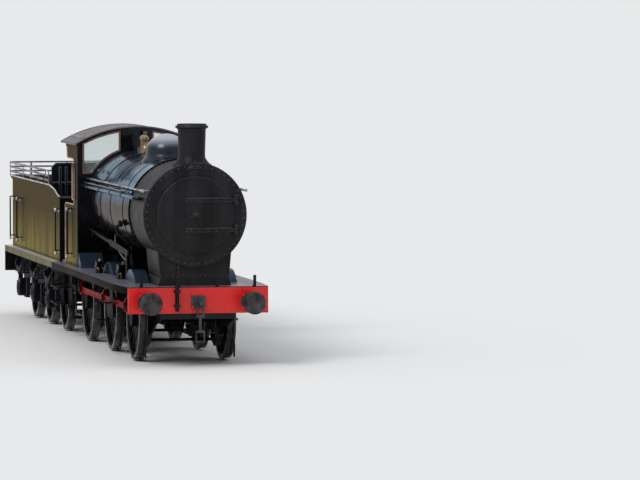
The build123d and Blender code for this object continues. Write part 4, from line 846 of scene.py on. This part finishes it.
def addSmokeboxRivets(rivets):
    t = smokeboxTrim
    front, centre, radius = place["smokeFront"], place["boilerZ"], place["smokeRadius"]
    for i in range(t["faceCount"]):
        turn = 2 * math.pi * (i + 0.5) / t["faceCount"]
        at = (front, t["faceRadius"] * math.cos(turn), centre + t["faceRadius"] * math.sin(turn))
        addRivet(rivets, at, (1, 0, 0), t["faceRivet"])
    for x in t["wrapX"]:
        for i in range(t["wrapCount"]):
            turn = -t["wrapBelow"] + (math.pi + 2 * t["wrapBelow"]) * i / (t["wrapCount"] - 1)
            c, s = math.cos(turn), math.sin(turn)
            addRivet(rivets, (x, radius * c, centre + radius * s), (0, c, s), t["wrapRivet"])
    for side in (1, -1):
        low, high = [(x, side * t["saddleY"], t["saddleZ"]) for x in t["saddleX"]]
        for p in spaced(low, high, t["footPitch"]):
            addRivet(rivets, p, (0, side, t["saddleLean"]), t["footRivet"])
    low, high = [(t["frontX"], y, t["frontZ"]) for y in t["frontY"]]
    for p in spaced(low, high, t["footPitch"]):
        addRivet(rivets, p, (1, 0, 0), t["footRivet"])


def buildSmokeboxTrim():
    t = smokeboxTrim
    rivets, ring, iron, strapRivets = newShapes(4)
    addSmokeboxRivets(rivets)
    for i in range(t["flangeCount"]):
        turn = 2 * math.pi * i / t["flangeCount"]
        x, y = t["flangeRadius"] * math.cos(turn), t["flangeRadius"] * math.sin(turn)
        skin = math.sqrt(place["smokeRadius"] ** 2 - y ** 2)
        at = (t["chimneyX"] + x, y, place["boilerZ"] + skin + t["flangeThick"])
        addBolt(rivets, at, (0, 0, 1), t["flangeBolt"])
    for dz in t["strapZ"]:
        for y in t["strapY"]:
            out = t["strapOut"] - t["bendFall"] * max(0.0, y - t["bendY"])
            at = (place["smokeFront"] + out, y, place["boilerZ"] + dz)
            addRivet(strapRivets, at, (1, t["strapLean"], 0), t["strapRivet"])
    addLathe(ring, (t["ringX"], 0, place["boilerZ"]), (1, 0, 0), t["ring"], 96)
    upright = [(t["ironX"], 0, z) for z in t["ironZ"]]
    addStrip(iron, upright, (0, 1, 0), lampIron["width"], lampIron["thick"])
    addBlock(iron, *t["ironFoot"])
    finishShape(rivets, "smokebox_rivets", "smokebox_black", "engine", "rivetGrey")
    finishShape(strapRivets, "door_strap_rivets", "smokebox_black", "smokebox_door", "rivetGrey")
    finishShape(ring, "smokebox_ring", "smokebox_black", "engine")
    finishShape(iron, "smokebox_lamp_iron", "frame_black", "engine", bevel=0.002)


# Boiler fittings: a thin oil pipe, washout plugs, and lubricators with their pipes

boilerTrim = {
    "pipeRadius": 0.011, "pipeY": -0.935, "pipeZ": 2.842, "pipeX": (1.070, 5.100, 5.250), "pipeBend": 0.08,
    "endIn": 0.010, "endFall": 0.020,      # the pipe's end goes into the cladding
    "clipX": (1.6, 2.9, 4.2), "clipHalf": 0.012, "clipOut": 0.014, "clipIn": 0.020, "clipTall": 0.016,
    "plugX": (0.720, 1.250, 1.800, 2.300), "plugTurn": 0.66, "plugRadius": 0.889,      # radians above level
    "plug": [(0, 0.045), (0.008, 0.045), (0.012, 0.030), (0.013, 0.016), (0.030, 0.014), (0.032, 0.002)],
    "oilRoute": [(4.90, -0.80, 1.575), (4.90, -0.80, 1.64), (4.16, -0.80, 1.754), (3.45, -0.76, 1.92),
                 (3.30, -0.72, 2.03)],
    "oilRadius": 0.012, "oilBend": 0.100,
}
lubricators = {
    "boxes": ((2.980, -0.955, 0.150, 0.130, 0.190), (4.860, -0.840, 0.220, 0.200, 0.230)),      # x, y and size
    "bodyZ": 1.360, "foot": (0.020, 0.015), "footZ": (1.333, 1.362), "lid": 0.008, "lidThick": 0.016,
    "filler": [(0, 0.030), (0.02, 0.030), (0.03, 0.018), (0.045, 0.018), (0.047, 0.002)], "fillerX": 0.020,
    "union": [(0, 0.020), (0.03, 0.020), (0.034, 0.012), (0.06, 0.012), (0.062, 0.002)],
    "unionY": (-0.35, 0.35), "unionZ": 1.420,
    "pipeX": (0.050, 0.090), "pipeBend": 0.030, "pipeRadius": 0.007,
    "cap": [(0, 0.035), (0.012, 0.035), (0.016, 0.012), (0.03, 0.012), (0.031, 0.002)], "capShare": 0.55,
    "armLength": 0.120, "armZ": 1.400, "armRadius": 0.010,
}


def addLubricator(boxes, brass, x, y, long, wide, tall):
    t = lubricators
    top = place["plateTop"] + tall
    rearX, endX, halfY = x - long / 2, x + long / 2, wide / 2
    footX, footY = t["foot"]
    lid = t["lid"]
    addBlock(boxes, (rearX, y - halfY, t["bodyZ"]), (endX, y + halfY, top))
    addBlock(boxes, (rearX - footX, y - halfY - footY, t["footZ"][0]),
             (endX + footX, y + halfY + footY, t["footZ"][1]))
    addBlock(boxes, (rearX - lid, y - halfY - lid, top), (endX + lid, y + halfY + lid, top + t["lidThick"]))
    addLathe(brass, (x + t["fillerX"], y, top + t["lidThick"]), (0, 0, 1), t["filler"], 16)
    for share in t["unionY"]:
        unionY = y + share * wide
        addLathe(brass, (endX, unionY, t["unionZ"]), (1, 0, 0), t["union"], 12)
        near, far = [endX + out for out in t["pipeX"]]
        addTube(brass, rounded([(near, unionY, t["unionZ"]), (far, unionY, t["unionZ"]),
                                (far, unionY, t["footZ"][0])], t["pipeBend"]), t["pipeRadius"], 6)
    addLathe(brass, (x, y - halfY, place["plateTop"] + tall * t["capShare"]), (0, -1, 0), t["cap"], 16)
    addTube(boxes, [(rearX, y, t["armZ"]), (rearX - t["armLength"], y, t["armZ"])], t["armRadius"], 6)


def buildBoilerTrim():
    t = boilerTrim
    pipes, plugs, boxes, brass = newShapes(4)
    y, z = t["pipeY"], t["pipeZ"]
    skin = math.sqrt(place["barrelRadius"] ** 2 - (z - place["boilerZ"]) ** 2)
    rearX, bendX, endX = t["pipeX"]
    route = [(rearX, y, z), (bendX, y, z), (endX, t["endIn"] - skin, z - t["endFall"])]
    addTube(pipes, rounded(route, t["pipeBend"]), t["pipeRadius"])
    for x in t["clipX"]:
        addBlock(pipes, (x - t["clipHalf"], y - t["clipOut"], z - t["clipTall"]),
                 (x + t["clipHalf"], t["clipIn"] - skin, z + t["clipTall"]))
    c, s = math.cos(t["plugTurn"]), math.sin(t["plugTurn"])
    for side in (1, -1):
        for x in t["plugX"]:
            at = (x, side * t["plugRadius"] * c, place["boilerZ"] + t["plugRadius"] * s)
            addLathe(plugs, at, (0, side * c, s), t["plug"], 20)
    for box in lubricators["boxes"]:
        addLubricator(boxes, brass, *box)
    addTube(pipes, rounded(t["oilRoute"], t["oilBend"]), t["oilRadius"])
    finishShape(pipes, "lubricating_pipes", "bright_steel", "engine", "dullPipe")
    finishShape(plugs, "washout_plugs", "brass", "engine", "dullPipe")
    finishShape(boxes, "lubricators", "black_paint", "engine", bevel=0.006)
    finishShape(brass, "lubricator_fittings", "brass", "engine", "oilyBrass")


# Both ends: buffer bolts and standpipes, which are alike. The way is 1 for the front and -1 for the back.

bufferBolts = {"out": 0.020, "reach": (-0.105, 0.105), "size": 0.016}
standpipe = {
    "out": 0.045, "y": 0.360, "foot": 0.930, "bendZ": 1.620, "topOut": 0.100, "topZ": 1.700, "endOut": 0.130,
    "endZ": 1.550, "bend": 0.070, "radius": 0.030,
    "stub": [(0, 0.036), (0.05, 0.036), (0.055, 0.044), (0.075, 0.044), (0.08, 0.02)], "stubZ": 1.570,
    "stubLean": 0.05, "clipZ": (1.020, 1.260), "clipHalf": 0.050, "clipThick": 0.020, "clipOut": 0.036,
    "clipIn": 0.002,
}


def addBufferBolts(bolts, way, side):
    t = bufferBolts
    for dy in t["reach"]:
        for dz in t["reach"]:
            at = (way * (place["beamX"] + t["out"]), side * place["bufferY"] + dy, place["bufferZ"] + dz)
            addBolt(bolts, at, (way, 0, 0), t["size"])


def addStandpipe(pipes, way):
    t = standpipe
    x, y = way * (place["beamX"] + t["out"]), -way * t["y"]
    endX = x + way * t["endOut"]
    addTube(pipes, rounded([(x, y, t["foot"]), (x, y, t["bendZ"]), (x + way * t["topOut"], y, t["topZ"]),
                            (endX, y, t["endZ"])], t["bend"]), t["radius"], 12)
    addLathe(pipes, (endX, y, t["stubZ"]), (way * t["stubLean"], 0, -1), t["stub"], 16)
    low, high = sorted((way * (place["beamX"] - t["clipIn"]), x + way * t["clipOut"]))
    half, thick = t["clipHalf"], t["clipThick"]
    for z in t["clipZ"]:
        addBlock(pipes, (low, y - half, z - thick), (high, y + half, z + thick))


# Front end: bolts, lamp irons, standpipe, guard irons and sand pipes

frontTrim = {
    "beamZ": (0.93, 1.06, 1.19, 1.29), "beamY": (1.140, 0.607), "beamRivet": 0.013,
    "hookZ": (0.99, 1.20), "hookY": 0.090, "hookOut": 0.022, "hookBolt": 0.018,
    "ironY": (-0.95, -0.32, 0.32, 0.95), "ironIn": (0.102, 0.012), "ironZ": (1.340, 1.520), "ironThick": 0.012,
    "guard": [(6.98, 0.606, 0.92), (6.72, 0.60, 0.62), (6.66, 0.75, 0.38), (6.62, 0.75, 0.11)],
    "guardBend": 0.100, "guardWidth": 0.075, "guardThick": 0.022,
    "wheelX": (5.750, 3.312), "wheelRadius": 0.729, "sandY": 0.745, "sandZ": (1.322, 0.620, 0.130),
    "sandOut": 0.140, "sandIn": 0.160, "sandBend": 0.120, "sandRadius": 0.018,
    "stayX": (0.090, 0.190), "stayY": (0.600, 0.770), "stayZ": (0.900, 0.930),
}


def addSandPipe(pipes, x, side):
    t = frontTrim
    y = side * t["sandY"]
    top, turn, end = t["sandZ"]
    addTube(pipes, rounded([(x + t["sandOut"], y, top), (x + t["sandOut"], y, turn), (x - t["sandIn"], y, end)],
                           t["sandBend"]), t["sandRadius"])
    stay = [side * reach for reach in t["stayY"]]
    addBlock(pipes, (x + t["stayX"][0], stay[0], t["stayZ"][0]), (x + t["stayX"][1], stay[1], t["stayZ"][1]))


def buildFrontTrim():
    t = frontTrim
    bolts, irons, pipes = newShapes(3)
    for side in (1, -1):
        addBufferBolts(bolts, 1, side)
        for z in t["beamZ"]:
            for y in t["beamY"]:
                addRivet(bolts, (place["beamX"], side * y, z), (1, 0, 0), t["beamRivet"])
        for z in t["hookZ"]:
            addBolt(bolts, (place["beamX"] + t["hookOut"], side * t["hookY"], z), (1, 0, 0), t["hookBolt"])
    for y in t["ironY"]:
        footX, x = [place["beamX"] - back for back in t["ironIn"]]
        addLampIron(irons, footX, x, y, *t["ironZ"], t["ironThick"])
    addStandpipe(pipes, 1)
    for side in (1, -1):
        guard = rounded([(x, side * y, z) for x, y, z in t["guard"]], t["guardBend"])
        addStrip(irons, guard, (1, 0, 0), t["guardWidth"], t["guardThick"])
        for x in t["wheelX"]:
            addSandPipe(pipes, x + t["wheelRadius"], side)
    finishShape(bolts, "beam_bolts", "red_paint", "engine")
    finishShape(irons, "front_irons", "frame_black", "engine", bevel=0.002)
    finishShape(pipes, "front_pipes", "frame_black", "engine")


# Rear end: standpipe and bolts

rearTrim = {"beamZ": (0.90, 1.06, 1.22), "beamY": 1.150, "beamRivet": 0.013}


def buildTenderEnd():
    t = rearTrim
    pipes, bolts = newShapes(2)
    addStandpipe(pipes, -1)
    for side in (1, -1):
        addBufferBolts(bolts, -1, side)
        for z in t["beamZ"]:
            addRivet(bolts, (-place["beamX"], side * t["beamY"], z), (-1, 0, 0), t["beamRivet"])
    finishShape(pipes, "rear_standpipe", "frame_black", "tender")
    finishShape(bolts, "rear_beam_bolts", "frame_black", "tender")


# Cab inside: dials, pipes and taps on the backhead. A place is how far it is out from the backhead, its y,
# and its height over the boiler's axis.

cabInside = {
    "backX": 0.500,
    # Each gauge: y, height, radius, and how far out its case and its dial stand
    "gauges": ((0.0, 0.56, 0.070, 0.048, 0.058), (-0.33, 0.62, 0.055, 0.0, 0.030)),
    "feed": [(0.09, 0.48, -0.2), (0.12, 0.60, -0.2)], "feedRadius": 0.022,
    "feedDown": (0.12, 0.66, 1.9, 1.38),      # its upright end, with two heights of the frame
    "steam": [(0.01, 0.25, 0.72), (0.10, 0.30, 0.72), (0.10, 0.62, 0.45), (0.01, 0.66, 0.40)],
    "steamRadius": 0.014, "bend": 0.080,
    "tap": [(0, 0.012), (0.05, 0.012), (0.052, 0.045), (0.066, 0.045), (0.068, 0.006)],
    "tapAt": (0.10, 0.45, 0.60),
    "boltCount": 12, "boltRadius": 0.740, "boltLift": 0.020, "boltSize": 0.014,
}


def addGauge(dials, brass, y, z, radius, caseOut, dialOut):
    backX, z = cabInside["backX"], place["boilerZ"] + z
    dial = [(0, radius), (0.004, radius), (0.005, radius * 0.98), (0.006, 0.002)]
    case = [(0, radius + 0.018), (0.02, radius + 0.018), (0.028, radius + 0.012), (0.030, radius + 0.002),
            (0.012, radius + 0.001)]
    addLathe(dials, (backX - dialOut, y, z), (-1, 0, 0), dial, 32)
    addLathe(brass, (backX - caseOut, y, z), (-1, 0, 0), case, 32)


def buildCabInside():
    t = cabInside
    backX, centre = t["backX"], place["boilerZ"]
    dials, pipes, brass = newShapes(3)
    for gauge in t["gauges"]:
        addGauge(dials, brass, *gauge)
    for side in (1, -1):
        out, reach, high, low = t["feedDown"]
        feedPipe = [(backX - back, side * y, centre + z) for back, y, z in t["feed"]]
        feedPipe += [(backX - out, side * reach, high), (backX - out, side * reach, low)]
        addTube(pipes, rounded(feedPipe, t["bend"]), t["feedRadius"], 10)
        steamPipe = [(backX - back, side * y, centre + z) for back, y, z in t["steam"]]
        addTube(pipes, rounded(steamPipe, t["bend"]), t["steamRadius"])
        back, y, z = t["tapAt"]
        addLathe(brass, (backX - back, side * y, centre + z), (-1, 0, 0), t["tap"], 16)
    for i in range(t["boltCount"]):
        turn = 2 * math.pi * i / t["boltCount"]
        y, z = t["boltRadius"] * math.cos(turn), t["boltRadius"] * math.sin(turn)
        addBolt(brass, (backX, y, centre + t["boltLift"] + z), (-1, 0, 0), t["boltSize"])
    finishShape(dials, "gauge_dials", "bright_steel", "engine", "dial")
    finishShape(pipes, "backhead_pipes", "brass", "engine", "copperPipe")
    finishShape(brass, "backhead_fittings", "brass", "engine")


# Under the cab: injectors and their pipes

injectors = {
    "y": 0.930, "z": 0.920,
    "coneX": -0.200, "neckX": 0.020,
    "cone": [(0, 0.030), (0.02, 0.055), (0.06, 0.055), (0.08, 0.040), (0.20, 0.050), (0.30, 0.042),
             (0.36, 0.058), (0.40, 0.058), (0.42, 0.030)],
    "neck": [(0, 0.036), (0.09, 0.036), (0.10, 0.05), (0.12, 0.05), (0.121, 0.01)],
    # Each pipe: its points as (x, z), its bend, radius and sides
    "pipes": (([(0.20, 0.92), (0.36, 0.92), (0.42, 1.06), (0.42, 1.31)], 0.08, 0.026, 10),
              ([(-0.18, 0.92), (-0.34, 0.92), (-0.50, 0.80), (-0.72, 0.80)], 0.08, 0.030, 10),
              ([(0.02, 0.80), (0.02, 0.55), (0.10, 0.40)], 0.06, 0.022, 8),
              ([(-0.10, 0.95), (-0.10, 1.31)], 0.0, 0.014, 8)),
    "stayX": (0.100, 0.140), "stayY": 0.610, "stayZ": (0.965, 0.985),
}


def buildInjectors():
    t = injectors
    body, pipes = newShapes(2)
    for side in (1, -1):
        y = side * t["y"]
        addLathe(body, (t["coneX"], y, t["z"]), (1, 0, 0), t["cone"], 16)
        addLathe(body, (t["neckX"], y, t["z"]), (0, 0, -1), t["neck"], 14)
        for path, bend, radius, sides in t["pipes"]:
            addTube(pipes, rounded([(x, y, z) for x, z in path], bend), radius, sides)
        near, far = sorted((y, side * t["stayY"]))
        addBlock(body, (t["stayX"][0], near, t["stayZ"][0]), (t["stayX"][1], far, t["stayZ"][1]))
    finishShape(body, "injectors", "cast_iron", "engine")
    finishShape(pipes, "injector_pipes", "cast_iron", "engine", "frame_black")


for build in (buildRailKnobs, buildCabTrim, buildTenderTrim, buildSmokeboxTrim, buildBoilerTrim, buildFrontTrim,
              buildTenderEnd, buildCabInside, buildInjectors):
    build()


# Light, floor and camera

studio = {
    "background": (0.80, 0.80, 0.80), "floorColour": (0.70, 0.68, 0.645), "floorSize": 60000,
    "skyStrength": 0.85, "sunFrom": (0.50, -0.62, 0.75), "sunStrength": 1.5, "sunAngle": 25.0,
    # From under the skyline up to overhead
    "sky": [(0.0, (0.20, 0.17, 0.13)), (0.12, (0.26, 0.22, 0.17)), (0.3, (0.42, 0.42, 0.42)),
            (0.62, (0.95, 1.0, 1.10)), (1.0, (1.3, 1.38, 1.52))],
}


def buildFloor():
    bpy.ops.mesh.primitive_plane_add(size=studio["floorSize"], location=(0, 0, 0))
    floor = bpy.context.object
    floor.name = "floor"
    made, tree, bsdf = shader("floor", studio["floorColour"], 0.95)
    bsdf.inputs["Specular IOR Level"].default_value = 0.0
    floor.data.materials.append(made)


# A sky for the light, and a plain colour where the camera, gloss or glass sees it
def buildWorld():
    world = bpy.data.worlds.new("world")
    bpy.context.scene.world = world
    world.use_nodes = True
    tree = world.node_tree
    back = tree.nodes["Background"]
    back.inputs["Strength"].default_value = studio["skyStrength"]
    coords = tree.nodes.new("ShaderNodeTexCoord")
    split = tree.nodes.new("ShaderNodeSeparateXYZ")
    tree.links.new(coords.outputs["Generated"], split.inputs["Vector"])
    height = spread(tree, split.outputs["Z"], 0.0, 1.0, -0.1, 1.0)
    tree.links.new(ramp(tree, height, studio["sky"]), back.inputs["Color"])
    seen = tree.nodes.new("ShaderNodeBackground")
    seen.inputs["Color"].default_value = (*studio["background"], 1)
    path = tree.nodes.new("ShaderNodeLightPath")
    mix = tree.nodes.new("ShaderNodeMixShader")
    direct = mathNode(tree, "MAXIMUM", path.outputs["Is Camera Ray"], path.outputs["Is Glossy Ray"])
    shown = mathNode(tree, "MAXIMUM", direct, path.outputs["Is Transmission Ray"])
    tree.links.new(shown, mix.inputs["Fac"])
    tree.links.new(back.outputs["Background"], mix.inputs[1])
    tree.links.new(seen.outputs["Background"], mix.inputs[2])
    tree.links.new(mix.outputs["Shader"], tree.nodes["World Output"].inputs["Surface"])


def buildSun():
    data = bpy.data.lights.new("sun", "SUN")
    data.energy = studio["sunStrength"]
    data.angle = math.radians(studio["sunAngle"])
    lamp = bpy.data.objects.new("sun", data)
    bpy.context.collection.objects.link(lamp)
    lamp.rotation_euler = (-Vector(studio["sunFrom"])).to_track_quat("-Z", "Y").to_euler()


# A long lens far off the right front corner, looking slightly down
view = {
    "location": (88.5427, -14.1799, 6.0509), "yaw": 2.94406737, "pitch": -0.0478834,      # radians
    "sensor": 36, "lens": 280.69, "reach": 100000,
}


def buildCamera():
    data = bpy.data.cameras.new("camera")
    data.sensor_width = view["sensor"]
    data.lens = view["lens"]
    data.clip_end = view["reach"]
    camera = bpy.data.objects.new("camera", data)
    bpy.context.collection.objects.link(camera)
    level = math.cos(view["pitch"])
    ahead = Vector((level * math.cos(view["yaw"]), level * math.sin(view["yaw"]), math.sin(view["pitch"])))
    camera.location = view["location"]
    camera.rotation_euler = ahead.to_track_quat("-Z", "Y").to_euler()
    bpy.context.scene.camera = camera


bpy.context.scene.view_settings.view_transform = "Standard"
buildFloor()
buildWorld()
buildSun()
buildCamera()
print("set the floor, light and camera")
